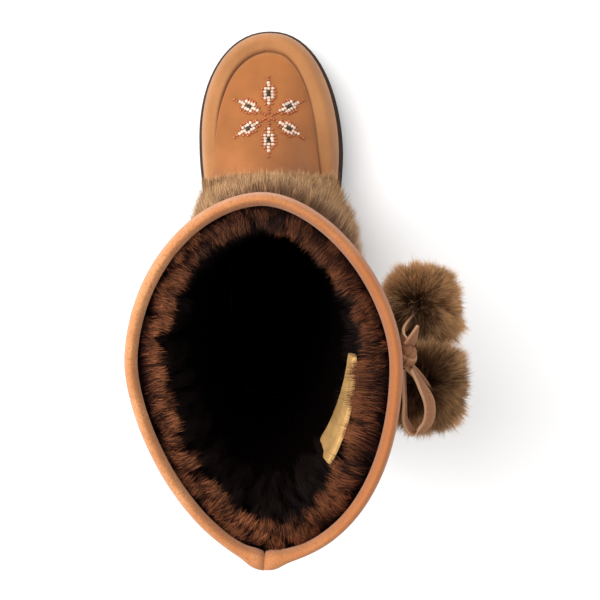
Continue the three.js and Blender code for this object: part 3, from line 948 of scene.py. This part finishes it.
def smooth_route(points, stations):
    """Evenly spaced points on a centripetal curve through a route, in metres."""
    p = np.array(points, float) * MM
    p = np.vstack([2 * p[0] - p[1], p, 2 * p[-1] - p[-2]])
    line = []
    for k in range(1, len(p) - 2):
        near = p[k - 1 : k + 3]
        steps = np.linalg.norm(np.diff(near, axis=0), axis=1) ** 0.5
        t = np.concatenate([[0], np.cumsum(steps)])
        for s in np.linspace(t[1], t[2], 24, endpoint=k == len(p) - 3):
            ab, bc, cd = (
                blend(near[i], near[i + 1], t[i], t[i + 1], s) for i in range(3)
            )
            abc, bcd = blend(ab, bc, t[0], t[2], s), blend(bc, cd, t[1], t[3], s)
            line.append(blend(abc, bcd, t[1], t[2], s))
    line = np.array(line)
    pieces = np.linalg.norm(np.diff(line, axis=0), axis=1)
    run = np.concatenate([[0], np.cumsum(pieces)])
    even = np.linspace(0, run[-1], stations)
    return np.stack([np.interp(even, run, line[:, k]) for k in range(3)], axis=1), run[-1]


# A lace's section in shares of its half sizes: across, deep, and how much it is cut there.
LACE_CORNER = ((-1.0, -0.35, 1), (-0.94, -0.85, 0.7), (-0.8, -1.0, 0.1), (-0.3, -0.92, 0))
LACE_SIDE = LACE_CORNER + tuple((-a, d, cut) for a, d, cut in reversed(LACE_CORNER))
LACE_SECTION = LACE_SIDE + tuple((-a, -d, cut) for a, d, cut in LACE_SIDE)


def closed_edges(bm, ring):
    """The edges of a closed ring of vertices, made where there are none yet."""
    pairs = zip(ring, ring[1:] + ring[:1])
    return [bm.edges.get(pair) or bm.edges.new(pair) for pair in pairs]


def lace_shape(line, across, wide, thick, taper=lambda s: 1.0, seed=1):
    """A flat lace along a line, extruded from one section to the next."""
    random = np.random.default_rng(seed)
    bm = bmesh.new()
    cut_layer = bm.verts.layers.float.new("cut_edge")
    tangents = unit(np.gradient(line, axis=0))
    wobble = random.normal(0, 0.012, (len(line), 2)).cumsum(axis=0)
    ways = np.broadcast_to(np.array(across, float), line.shape)
    ring = None
    for k, (centre, tangent) in enumerate(zip(line, tangents)):
        s = k / (len(line) - 1)
        side = unit(ways[k] - tangent * ways[k].dot(tangent))
        uneven = 1 + 0.03 * np.sin(9 * s + seed) + wobble[k, 0] * 0.3
        half = 0.5 * wide * taper(s) * uneven
        half_deep = np.cross(tangent, side) * 0.5 * thick
        places = [
            Vector(centre + side * half * a + half_deep * d) for a, d, _ in LACE_SECTION
        ]
        if ring is None:
            ring = [bm.verts.new(place) for place in places]
            edges = closed_edges(bm, ring)
            bm.faces.new(ring)
        else:
            made = bmesh.ops.extrude_edge_only(bm, edges=edges)["geom"]
            new = {}
            for face in (g for g in made if isinstance(g, bmesh.types.BMFace)):
                for a, b in (edge.verts for edge in face.edges):
                    if (a in ring) != (b in ring):
                        new[a if a in ring else b] = b if a in ring else a
            ring = [new[v] for v in ring]
            edges = closed_edges(bm, ring)
            for vert, place in zip(ring, places):
                vert.co = place
        at_end = not 0.02 < s < 0.98
        for vert, (_, _, cut) in zip(ring, LACE_SECTION):
            vert[cut_layer] = cut * (1.2 if at_end else 1.0)
    bm.faces.new(ring)
    bmesh.ops.recalc_face_normals(bm, faces=bm.faces)
    return bm


# Centres, routes and directions of the laces, in millimetres.
KNOT = {"centre": (62.0, -54.4, 308.0), "size": (4.0, 4.8, 4.0)}
BOW_LOOP = (
    (63.4, -59.6, 308.4), (67.6, -67.0, 307.0), (72.0, -76.0, 304.0), (71.4, -84.8, 301.5),
    (66.0, -89.0, 301.0), (61.8, -84.2, 302.6), (61.0, -74.2, 305.0), (60.2, -60.0, 307.0),
)
BOW_TAIL = ((62.2, -49.4, 308.4), (64.0, -46.0, 309.6), (65.8, -41.2, 311.0))
CORDS = {  # the last point of each is inside its pompom
    "front": (
        (61.8, -51.8, 303.6), (63.0, -50.6, 296.0), (63.8, -49.2, 276.0),
        (65.8, -46.8, 262.0), (71.0, -42.4, 252.4), (74.6, -39.4, 244.5),
    ),
    "back": (
        (61.8, -57.0, 303.6), (62.8, -59.0, 297.0), (69.6, -66.2, 292.5),
        (75.0, -73.8, 285.5), (75.4, -74.4, 275.0),
    ),
}


# ---- Building operators ----


class Build:
    """What the building operators share."""

    bl_options = {"REGISTER", "UNDO"}

    @property
    def sizes(self):
        return bpy.context.scene.mukluk_sizes

    @property
    def colours(self):
        return bpy.context.scene.mukluk_colours

    def execute(self, context):
        self.build()
        return {"FINISHED"}


# The camera's place in metres, the way it looks and its lens in millimetres.
EYE = {"place": (0.0034, -0.0097, 0.762), "forward": (0.02644, -0.04533, -1), "lens": 63.54}
# Lamps: place and size in metres, power in watts.
LAMPS = (("key", (-0.8, 0.42, 1.7), 1.3, 25.5), ("side", (-1.3, 0.2, 0.9), 0.8, 7.0))
LAMP_AIM = Vector((0, -0.02, 0.1))
SKY = 0.86  # strength of the white world


class MUKLUK_OT_stage(Build, bpy.types.Operator):
    """Floor, soft studio light and the camera above the boot"""

    bl_idname = "mukluk.stage"
    bl_label = "Stage"

    def build(self):
        scene = bpy.context.scene
        camera = bpy.data.cameras.new("camera")
        camera.sensor_width = 36
        camera.lens = EYE["lens"]
        eye = bpy.data.objects.new("camera", camera)
        forward = Vector(EYE["forward"]).normalized()
        right = forward.cross(Vector((0, 1, 0))).normalized()
        turn = Matrix((right, right.cross(forward), -forward)).transposed().to_4x4()
        eye.matrix_world = Matrix.Translation(EYE["place"]) @ turn
        scene.collection.objects.link(eye)
        scene.camera = eye

        bm = bmesh.new()
        bmesh.ops.create_grid(bm, x_segments=1, y_segments=1, size=3)
        floor = bpy.data.objects.new("floor", new_mesh("floor", bm))
        pale = Finish("pale_floor", roughness=1.0, specular_ior_level=0.0)
        shade = pale.ramp(pale.noise(3, 2), (0.3, 0.95), (0.7, 0.97))
        floor.data.materials.append(pale.paint(shade))
        scene.collection.objects.link(floor)

        for name, place, size, power in LAMPS:
            lamp = bpy.data.lights.new(name, "AREA")
            lamp.shape, lamp.size, lamp.energy = "DISK", size, power
            light = bpy.data.objects.new(name, lamp)
            light.location = place
            aim = LAMP_AIM - light.location
            light.rotation_euler = aim.to_track_quat("-Z", "Y").to_euler()
            scene.collection.objects.link(light)

        world = bpy.data.worlds.new("studio")
        world.use_nodes = True
        background = world.node_tree.nodes["Background"].inputs
        background["Color"].default_value = (1, 1, 1, 1)
        background["Strength"].default_value = SKY
        scene.world = world
        scene.view_settings.view_transform = "Standard"


class MUKLUK_OT_outsole(Build, bpy.types.Operator):
    """Rubber outsole with a lip round the upper and a chevron tread"""

    bl_idname = "mukluk.outsole"
    bl_label = "Outsole"

    def build(self):
        sole = piece("outsole_rubber", flat_copy("outsole", 0.8), "outsole",
                     rubber(self.colours), nodes=["outsole"], sharp=32)
        round_edges(sole, 0.5 * MM, 2, 35)


class MUKLUK_OT_upper(Build, bpy.types.Operator):
    """Tan upper with its moccasin seam, gathers and folds, and a dark lining inside,
    painted almost black as shade
    """

    bl_idname = "mukluk.upper"
    bl_label = "Upper"

    def build(self):
        bm = cad_copy("upper", *NET_LAYERS)
        net = net_of(bm, COLUMNS, UPPER_RINGS, OUTER_RINGS)
        forms["upper"] = Upper(net)
        mesh = fine_upper_mesh(bm, net, forms["upper"])
        piece("upper_skin", mesh, "upper", nubuck(self.colours), dark_pile(self.colours),
              nodes=["upper"], sharp=70)


class MUKLUK_OT_insole(Build, bpy.types.Operator):
    """Insole with a dark pile, painted almost black as shade"""

    bl_idname = "mukluk.insole"
    bl_label = "Insole"

    def build(self):
        insole = piece("insole_pile", flat_copy("insole", 1), "insole",
                       dark_pile(self.colours), nodes=["insole"])
        round_edges(insole, 1.2 * MM, 3)


class MUKLUK_OT_binding(Build, bpy.types.Operator):
    """Brushed suede binding folded over the collar, meeting in a seam at the back"""

    bl_idname = "mukluk.binding"
    bl_label = "Collar binding"

    def build(self):
        bm = finer_copy("collar_binding", cuts=1, smooth=0.6)
        for vert in bm.verts:
            x, y, z = vert.co / MM
            lump = np.sin(x / 7.3 + z / 4) * np.sin(y / 8.1)
            lump += 0.6 * np.sin((x - y) / 4.7 + 1)
            vert.co.z += 0.22 * MM * lump
        binding = piece("binding_suede", bm, "binding", brushed_suede(self.colours),
                        nodes=["collar_binding"], sharp=None)
        subdivide(binding, 2)


class MUKLUK_OT_patch(Build, bpy.types.Operator):
    """Plain ochre patch on the lining"""

    bl_idname = "mukluk.patch"
    bl_label = "Lining patch"

    def build(self):
        bm = finer_copy("lining_patch", cuts=2, smooth=0.2)
        patch = piece("patch_leather", bm, "patch", patch_leather(self.colours),
                      nodes=["lining_patch"], sharp=35)
        round_edges(patch, 0.6 * MM, 2)


# How hairs stand in locks: locks round a band and up it, and on a pompom.
PILE_LOCKS, FUR_LOCKS, POMPOM_LOCKS = (74, 9), (96, 20), 520
# The patch among the pile, in columns and in millimetres of height.
PATCH_COLUMNS, PATCH_HEIGHTS = (10.4, 18.6), (250, 300)
# Heights in millimetres between which the pile turns from painted shade to its lit tips,
# and swells.
PILE_LIT, PILE_SWELLS = (304, 313), (303, 316)
FUR_SWEEP = np.array([0.06, -0.1, -0.12])  # the way the pompoms' hair lies
SKIN_SHARE = 0.22  # the fur's skin between the inside (0) and the outside (1) of the band


class MUKLUK_OT_lining(Build, bpy.types.Operator):
    """Plush pile of the lining under the collar"""

    bl_idname = "mukluk.lining"
    bl_label = "Lining pile"

    def build(self):
        random = np.random.default_rng(11)
        upper, sizes = forms["upper"], self.sizes
        column = random.uniform(0, COLUMNS, sizes.pile_hairs)
        # From the collar down, and densest there.
        depth = 0.98 + 2.0 * random.uniform(0, 1, len(column)) ** 1.25
        roots = upper.lining(column, depth)
        z = roots[:, 2] / MM
        patch = (column > PATCH_COLUMNS[0]) & (column < PATCH_COLUMNS[1])
        patch &= (z > PATCH_HEIGHTS[0]) & (z < PATCH_HEIGHTS[1])
        column, depth, roots, z = (values[~patch] for values in (column, depth, roots, z))
        number = len(z)
        row = np.interp(depth, range(len(INNER_ROWS)), INNER_ROWS)
        inward = -outward(upper.outer, column, ring_of_row(row))
        locks = cells(column / COLUMNS, depth / 3.2, *PILE_LOCKS)
        lock = np.random.default_rng(12).uniform(0, 1, locks.max() + 1)[locks]
        reach = sizes.pile_length * (0.8 + 0.28 * lock) * random.normal(1, 0.1, number)
        # Longer above the patch, which it hangs over.
        first, last = (smooth_step(edge - 1, edge + 1, column) for edge in (10.5, 18.5))
        reach = reach * (1 + 0.8 * first * (1 - last) * smooth_step(292, 300, z))
        lean = np.stack([np.cos(lock * 40), np.sin(lock * 40), lock - 0.55], 1)
        tips = roots + inward * reach[:, None] + lean * 3.4 * MM
        tips[:, 2] += (0.8 + 5.8 * smooth_step(*PILE_SWELLS, z)) * MM
        tips, bend, turn, width = strew(random, "pile", tips, locks)
        bend += (lean + np.array([0, 0, 1.8])) * MM
        wide = np.cross(inward, [0, 0, 1]) + turn
        # Painted shade: below the PILE_LIT heights the hairs take the darkest colours; they
        # are also darker at the front of the collar.
        front = 1 - 0.5 * bell((column + COLUMNS / 2) % COLUMNS - COLUMNS / 2, 7)
        kind = 0.1 + 0.62 * lock * random.uniform(0.3, 1.3, number)
        kind = np.clip(kind + random.normal(0, 0.26, number), 0, 1)
        kind = smooth_step(*PILE_LIT, z) * front * kind
        finish = hair_finish("plush_pile", self.colours, "pile", low=0.08)
        hairs("lining_pile", roots, tips, bend, wide, width, kind, "lining", finish)


class MUKLUK_OT_fur(Build, bpy.types.Operator):
    """Grey-brown fur band round the ankle"""

    bl_idname = "mukluk.fur"
    bl_label = "Fur band"

    def build(self):
        random = np.random.default_rng(21)
        sizes, colours = self.sizes, self.colours
        bm = cad_copy("fur_cuff")
        net = net_of(bm, COLUMNS, CUFF_RINGS, CUFF_OUTER_RINGS)
        grid = places_of(net)
        outer = grid[:, :CUFF_OUTER_RINGS]
        inner = grid[:, CUFF_OUTER_RINGS:][:, ::-1]
        close = inner * (1 - SKIN_SHARE) + outer * SKIN_SHARE
        for place in np.ndindex(close.shape[:2]):
            net[place].co = Vector(close[place])
        join_to_quads(bm)
        skin = piece("fur_skin", bm, "fur", fur_skin(colours),
                     nodes=["fur_cuff"], sharp=None)
        subdivide(skin, 1)

        number = sizes.fur_hairs
        column = random.uniform(0, COLUMNS, number)
        ring = random.uniform(0, CUFF_OUTER_RINGS - 1, number)
        roots = read_grid(inner, column, ring) * 0.8 + read_grid(outer, column, ring) * 0.2
        locks = cells(column / COLUMNS, ring / 6.001, *FUR_LOCKS)
        lock = np.random.default_rng(22).uniform(0, 1, (locks.max() + 1, 3))[locks]
        lower = np.clip(ring - 6 * sizes.fur_lean * (0.5 + lock[:, 0]), -0.4, 6)
        tips = read_grid(outer, column + (lock[:, 1] - 0.5) * 0.7, lower)
        away = outward(outer, column, ring)
        outer_side = bell((column - OUTER_COLUMN + 2) / COLUMNS, 0.1)
        proud = 0.0034 + 0.0068 * outer_side + 0.003 * (lock[:, 2] - 0.5)
        proud = proud + random.normal(0, 0.0014, number)
        tips = tips + away * proud[:, None]
        tips, bend, turn, width = strew(random, "fur", tips, locks)
        bend += away * 1.8 * MM
        wide = np.cross(away, [0, 0, 1]) + turn
        kind = 0.2 + 0.4 * lock[:, 0] * lock[:, 1] + random.normal(0.2, 0.3, number)
        kind = np.clip(kind, 0, 1)
        finish = hair_finish("agouti_fur", colours, "fur", low=0.45)
        hairs("ankle_fur", roots, tips, bend, wide, width, kind, "fur", finish)


class MUKLUK_OT_pompoms(Build, bpy.types.Operator):
    """Two fur pompoms on the outer side"""

    bl_idname = "mukluk.pompoms"
    bl_label = "Pompoms"

    def build(self):
        sizes, colours = self.sizes, self.colours
        finish = hair_finish("pompom_fur", colours, "fur", low=0.4)
        skin = fur_skin(colours)
        for seed, side, light in ((31, "front", 0.8), (32, "back", 0.5)):
            node = "pompom_" + side
            low, high = (np.array(corner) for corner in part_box(node))
            centre, half = (low + high) / 2, (high - low) / 2
            bm = bmesh.new()
            bmesh.ops.create_icosphere(bm, subdivisions=4, radius=1)
            for vert in bm.verts:
                lump = 1 + 0.06 * np.sin(7 * vert.co.x + seed) * np.sin(6 * vert.co.y)
                vert.co = Vector(centre + np.array(vert.co) * half * 0.64 * lump)
            core = piece("pompom_core_" + side, bm, "fur", skin, nodes=[node], sharp=None)

            random = np.random.default_rng(seed)
            number = sizes.pompom_hairs
            way = unit(random.normal(0, 1, (number, 3)))
            locks_at = unit(random.normal(0, 1, (POMPOM_LOCKS, 3)))
            locks = np.argmax(way @ locks_at.T, axis=1)
            lock = random.uniform(0, 1, (POMPOM_LOCKS, 3))[locks]
            roots = centre + way * half * 0.62
            full = np.sum(way**4, axis=1) ** -0.18  # fuller than a ball
            reach = 0.95 * full + 0.12 * (lock[:, 0] - 0.5) + random.normal(0, 0.06, number)
            neck = unit((np.array(CORDS[side][-3]) * MM - centre) / half)
            other = unit(np.array([0.75, -0.65 if side == "front" else 0.65, 0.1]))
            reach = reach + 0.5 * bell(1 - way @ neck, 0.16)
            reach = reach + 0.16 * bell(1 - way @ other, 0.16)
            broad = np.sin(5 * way[:, 0] + seed) * np.sin(4 * way[:, 1] + 2 * way[:, 2])
            aim = unit(way + (lock - 0.5) * 0.34 + FUR_SWEEP)
            tips = centre + aim * half * (reach + 0.04 * broad)[:, None]
            tips, bend, wide, width = strew(random, "pompom", tips, locks)
            bend += (lock - 0.5) * 2 * MM
            kind = light + 0.34 * broad + 0.24 * lock[:, 0] + random.normal(0, 0.28, number)
            kind = np.clip(kind - 0.6 * bell(1 - way @ neck, 0.25), 0, 1)
            fur = hairs("pompom_fur_" + side, roots, tips, bend, wide, width, kind, "fur",
                        finish)
            forms[node] = (core, fur)


class MUKLUK_OT_lacing(Build, bpy.types.Operator):
    """Suede tie round the shaft with its knot, bow loop, tail and pompom cords"""

    bl_idname = "mukluk.lacing"
    bl_label = "Lacing"

    def build(self):
        sizes = self.sizes
        suede = lace_suede(self.colours)

        bm = cad_copy("tie_band", "cut_edge")
        cut = bm.verts.layers.float["cut_edge"]
        for vert in bm.verts:
            vert[cut] = 0.35
        join_to_quads(bm, 60)
        around = [e for e in bm.edges if e.calc_face_angle(0) > radians(55)]
        bmesh.ops.bevel(bm, geom=around, offset=0.0004, segments=2, profile=0.5,
                        affect="EDGES", material=-1)
        band = piece("tie_lace", bm, "lacing", suede, nodes=["tie_band"], sharp=60)
        subdivide(band, 1)

        knot = self.knot(suede)
        line, _ = smooth_route(BOW_TAIL, 16)
        bm = lace_shape(line, (1, 0.15, -0.55), sizes.lace_width, sizes.lace_thick,
                        taper=lambda s: 1 - 0.86 * s**1.3, seed=5)
        tail = piece("bow_tail_lace", bm, "lacing", suede, nodes=["bow_tail"])

        line, run = smooth_route(BOW_LOOP, 56)
        s = np.linspace(0, 1, len(line))
        lies_flat = 0.28 + 1.3 * bell(s - 0.36, 0.2)  # its face turns up, then it stands
        across = np.stack([lies_flat, 0 * s, 0 * s - 1], axis=1)
        bm = lace_shape(line, across, sizes.lace_width, sizes.lace_thick, seed=3)
        loop = piece("bow_loop_lace", bm, "lacing", suede, nodes=["bow_loop"])

        for seed, side in ((6, "front"), (7, "back")):
            line, run = smooth_route(CORDS[side], 34)
            bm = lace_shape(line, (0.2, 1, 0), sizes.cord_width, sizes.lace_thick,
                            seed=seed)
            cord = piece("pompom_lace_" + side, bm, "lacing", suede,
                         nodes=["pompom_cord_" + side])

    def knot(self, suede):
        """A small tight knot: a rounded form with two crossing wraps."""
        bm = bmesh.new()
        bmesh.ops.create_uvsphere(bm, u_segments=40, v_segments=24, radius=1)
        cut = bm.verts.layers.float.new("cut_edge")
        centre, size = Vector(KNOT["centre"]) * MM, Vector(KNOT["size"]) * MM
        for vert in bm.verts:
            p = vert.co.copy()
            wrap = p.y * 0.85 + p.z * 0.5 + 0.25 * p.x
            second = p.y * 0.5 - p.x * 0.7
            groove = bell(abs(wrap) - 0.42, 0.1) * 0.2 + bell(second - 0.1, 0.09) * 0.16
            form = Vector([abs(v) ** 0.85 * (1 if v > 0 else -1) for v in p])
            vert.co = centre + (form * (1 - groove)) * size
            vert[cut] = 0.5 * bell(abs(wrap) - 0.3, 0.07)
        return piece("bow_knot_lace", bm, "lacing", suede, nodes=["bow_knot"], sharp=None)


# A petal's beads from its tip inwards, in columns from its middle out: c copper, p pale,
# d dark.
PETAL = {0: "ccpppddpppccc", 1: "...cppppcc...", 2: "....cccc....."}
# The star's centre and the start of a petal in millimetres, the petals' directions in
# degrees, how short the side petals are, and how close the outermost columns stand.
STAR = {"centre": (1.4, 78.4), "first": 1.6, "turns": (90, 29, -31, -90, 211, 151),
        "sides": 0.93, "outermost": 0.9}
BEAD_PLAY = 0.00012 * 2**0.5  # how far a bead sits off its place, in metres
BEAD_RISE = 0.0005  # its middle above the leather


def scatter(name, template, places, frames, scales, slot, material):
    """Copies of a small template at places, turned by frames of three axes, as one mesh."""
    points = np.array([v.co for v in template.verts])
    faces = [[v.index for v in f.verts] for f in template.faces]
    local = points[None] * scales[:, None]
    turned = np.einsum("nvk,nkj->nvj", local, frames) + places[:, None]
    corners = np.concatenate(faces)
    shift = np.arange(len(places))[:, None] * len(points)
    sizes = np.tile([len(f) for f in faces], len(places))
    mesh = mesh_from(name, turned.reshape(-1, 3), (corners[None] + shift).ravel(), sizes)
    return piece(name, mesh, slot, material, sharp=None)


def frames_on(normals, along):
    """Three axes for each place: along the surface, across it and out of it."""
    up = unit(normals)
    first = unit(along - up * np.sum(along * up, axis=1, keepdims=True))
    return np.stack([first, np.cross(up, first), up], axis=1)


class MUKLUK_OT_beads(Build, bpy.types.Operator):
    """Six-petalled star of seed beads on the vamp"""

    bl_idname = "mukluk.beads"
    bl_label = "Bead star"

    def build(self):
        sizes, colours = self.sizes, self.colours
        random = np.random.default_rng(41)
        skin = bpy.data.objects["upper_skin"].data
        tree = BVHTree.FromPolygons(
            [v.co for v in skin.vertices], [p.vertices[:] for p in skin.polygons]
        )
        rows = len(PETAL[0])
        down = Vector((0, 0, -1))
        kinds = {"p": [], "d": [], "c": []}
        for turn in STAR["turns"]:
            way = Vector((np.cos(radians(turn)), np.sin(radians(turn)), 0))
            side = Vector((-way.y, way.x, 0))
            pitch = sizes.bead * (1 if turn % 180 == 90 else STAR["sides"])
            for column in (-2, -1, 0, 1, 2):
                closer = STAR["outermost"] if abs(column) == 2 else 1
                across = column * sizes.bead_wide * closer
                for k, kind in enumerate(PETAL[abs(column)]):
                    if kind == ".":
                        continue
                    out = STAR["first"] * MM + (rows - k - 0.5) * pitch
                    place = Vector((*STAR["centre"], 0)) * MM + way * out + side * across
                    place += Vector(random.normal(0, BEAD_PLAY, 3))
                    place.z = 0.2  # above the vamp
                    hit, normal, _, _ = tree.ray_cast(place, down)
                    if hit is None:
                        raise RuntimeError("a bead found no leather under it")
                    kinds[kind].append((hit, normal, way))
        bm = bmesh.new()
        bmesh.ops.create_uvsphere(bm, u_segments=10, v_segments=7, radius=1)
        for vert in bm.verts:
            vert.co = [abs(v) ** 0.7 * (1 if v > 0 else -1) for v in vert.co]
        bm.verts.ensure_lookup_table()
        for kind, name, metallic, grow in (
            ("p", "pale", 0.0, 0.98), ("d", "dark", 0.0, 0.98), ("c", "copper", 0.35, 0.82)
        ):
            finish = glass_bead(name + "_glass", getattr(colours, "bead_" + name), metallic)
            hits, normals, ways = (np.array(part) for part in zip(*kinds[kind]))
            half = np.array([0.5 * sizes.bead, 0.5 * sizes.bead_wide, 0.75 * MM]) * grow
            scales = half * random.uniform(0.92, 1.06, (len(hits), 1))
            places = hits + normals * BEAD_RISE
            frames = frames_on(normals, ways)
            scatter(name + "_beads", bm, places, frames, scales, "beads", finish)
        bm.free()


BINDING_STITCHES = 118


class MUKLUK_OT_stitches(Build, bpy.types.Operator):
    """Thread over the lip of the sole and round the binding"""

    bl_idname = "mukluk.stitches"
    bl_label = "Stitches"

    def build(self):
        sizes = self.sizes
        upper = forms["upper"]
        thread = twisted_thread(self.colours)
        bm = bmesh.new()
        bmesh.ops.create_uvsphere(bm, u_segments=8, v_segments=6, radius=1)
        bm.verts.ensure_lookup_table()

        # One stitch in each valley between two gathers, running down behind the lip.
        column = (np.arange(sizes.gathers) + 0.5) * COLUMNS / sizes.gathers
        ring = np.full(len(column), 0.95)
        places, normals = upper.skin(column, ring)
        along = read_grid(upper.outer, column, ring + 0.5) - places
        self.row("lip_stitches", bm, thread, places, normals, along, 0.2, (1.5, 0.42, 0.36))

        # A row round the outside of the binding, near its lower edge.
        turn = np.arange(BINDING_STITCHES) / (BINDING_STITCHES - 1)
        column = (BACK_COLUMN + 1.2 + turn * (COLUMNS - 2.4)) % COLUMNS
        ring = np.full(len(column), ring_of_row(15.02))
        places = read_grid(upper.outer, column, ring)
        normals = outward(upper.outer, column, ring)
        along = read_grid(upper.outer, column + 0.1, ring) - places
        half = (0.5 * sizes.stitch / MM, 0.34, 0.3)
        self.row("binding_stitches", bm, thread, places, normals, along, 1.95, half)
        bm.free()

    def row(self, name, bm, thread, places, normals, along, proud, half):
        """Stitches on a surface. How proud they are and half their sizes in millimetres."""
        scales = np.tile(np.array(half) * MM, (len(places), 1))
        frames = frames_on(normals, along)
        scatter(name, bm, places + normals * proud * MM, frames, scales, "thread", thread)


OPERATORS = (
    MUKLUK_OT_stage,
    MUKLUK_OT_pompoms,
    MUKLUK_OT_lacing,
    MUKLUK_OT_upper,
    MUKLUK_OT_outsole,
    MUKLUK_OT_insole,
    MUKLUK_OT_binding,
    MUKLUK_OT_patch,
    MUKLUK_OT_lining,
    MUKLUK_OT_fur,
    MUKLUK_OT_beads,
    MUKLUK_OT_stitches,
)
forms = {}  # surfaces and pieces that later operators need


class MUKLUK_PT_build(bpy.types.Panel):
    """Lists the building steps with their sizes and colours"""

    bl_idname = "MUKLUK_PT_build"
    bl_label = "Mukluk boot"
    bl_space_type = "VIEW_3D"
    bl_region_type = "UI"
    bl_category = "Mukluk"

    def draw(self, context):
        for operator in OPERATORS:
            self.layout.operator(operator.bl_idname)
        for group in (context.scene.mukluk_sizes, context.scene.mukluk_colours):
            column = self.layout.column(align=True)
            for key in group.__annotations__:
                column.prop(group, key)


CLASSES = (MuklukSizes, MuklukColours, *OPERATORS, MUKLUK_PT_build)


def register():
    for cls in CLASSES:
        bpy.utils.register_class(cls)
    bpy.types.Scene.mukluk_sizes = bpy.props.PointerProperty(type=MuklukSizes)
    bpy.types.Scene.mukluk_colours = bpy.props.PointerProperty(type=MuklukColours)


def unregister():
    del bpy.types.Scene.mukluk_colours
    del bpy.types.Scene.mukluk_sizes
    for cls in reversed(CLASSES):
        bpy.utils.unregister_class(cls)


def main():
    register()
    for operator in OPERATORS:
        group, name = operator.bl_idname.split(".")
        getattr(getattr(bpy.ops, group), name)()


if __name__ == "__main__":
    main()
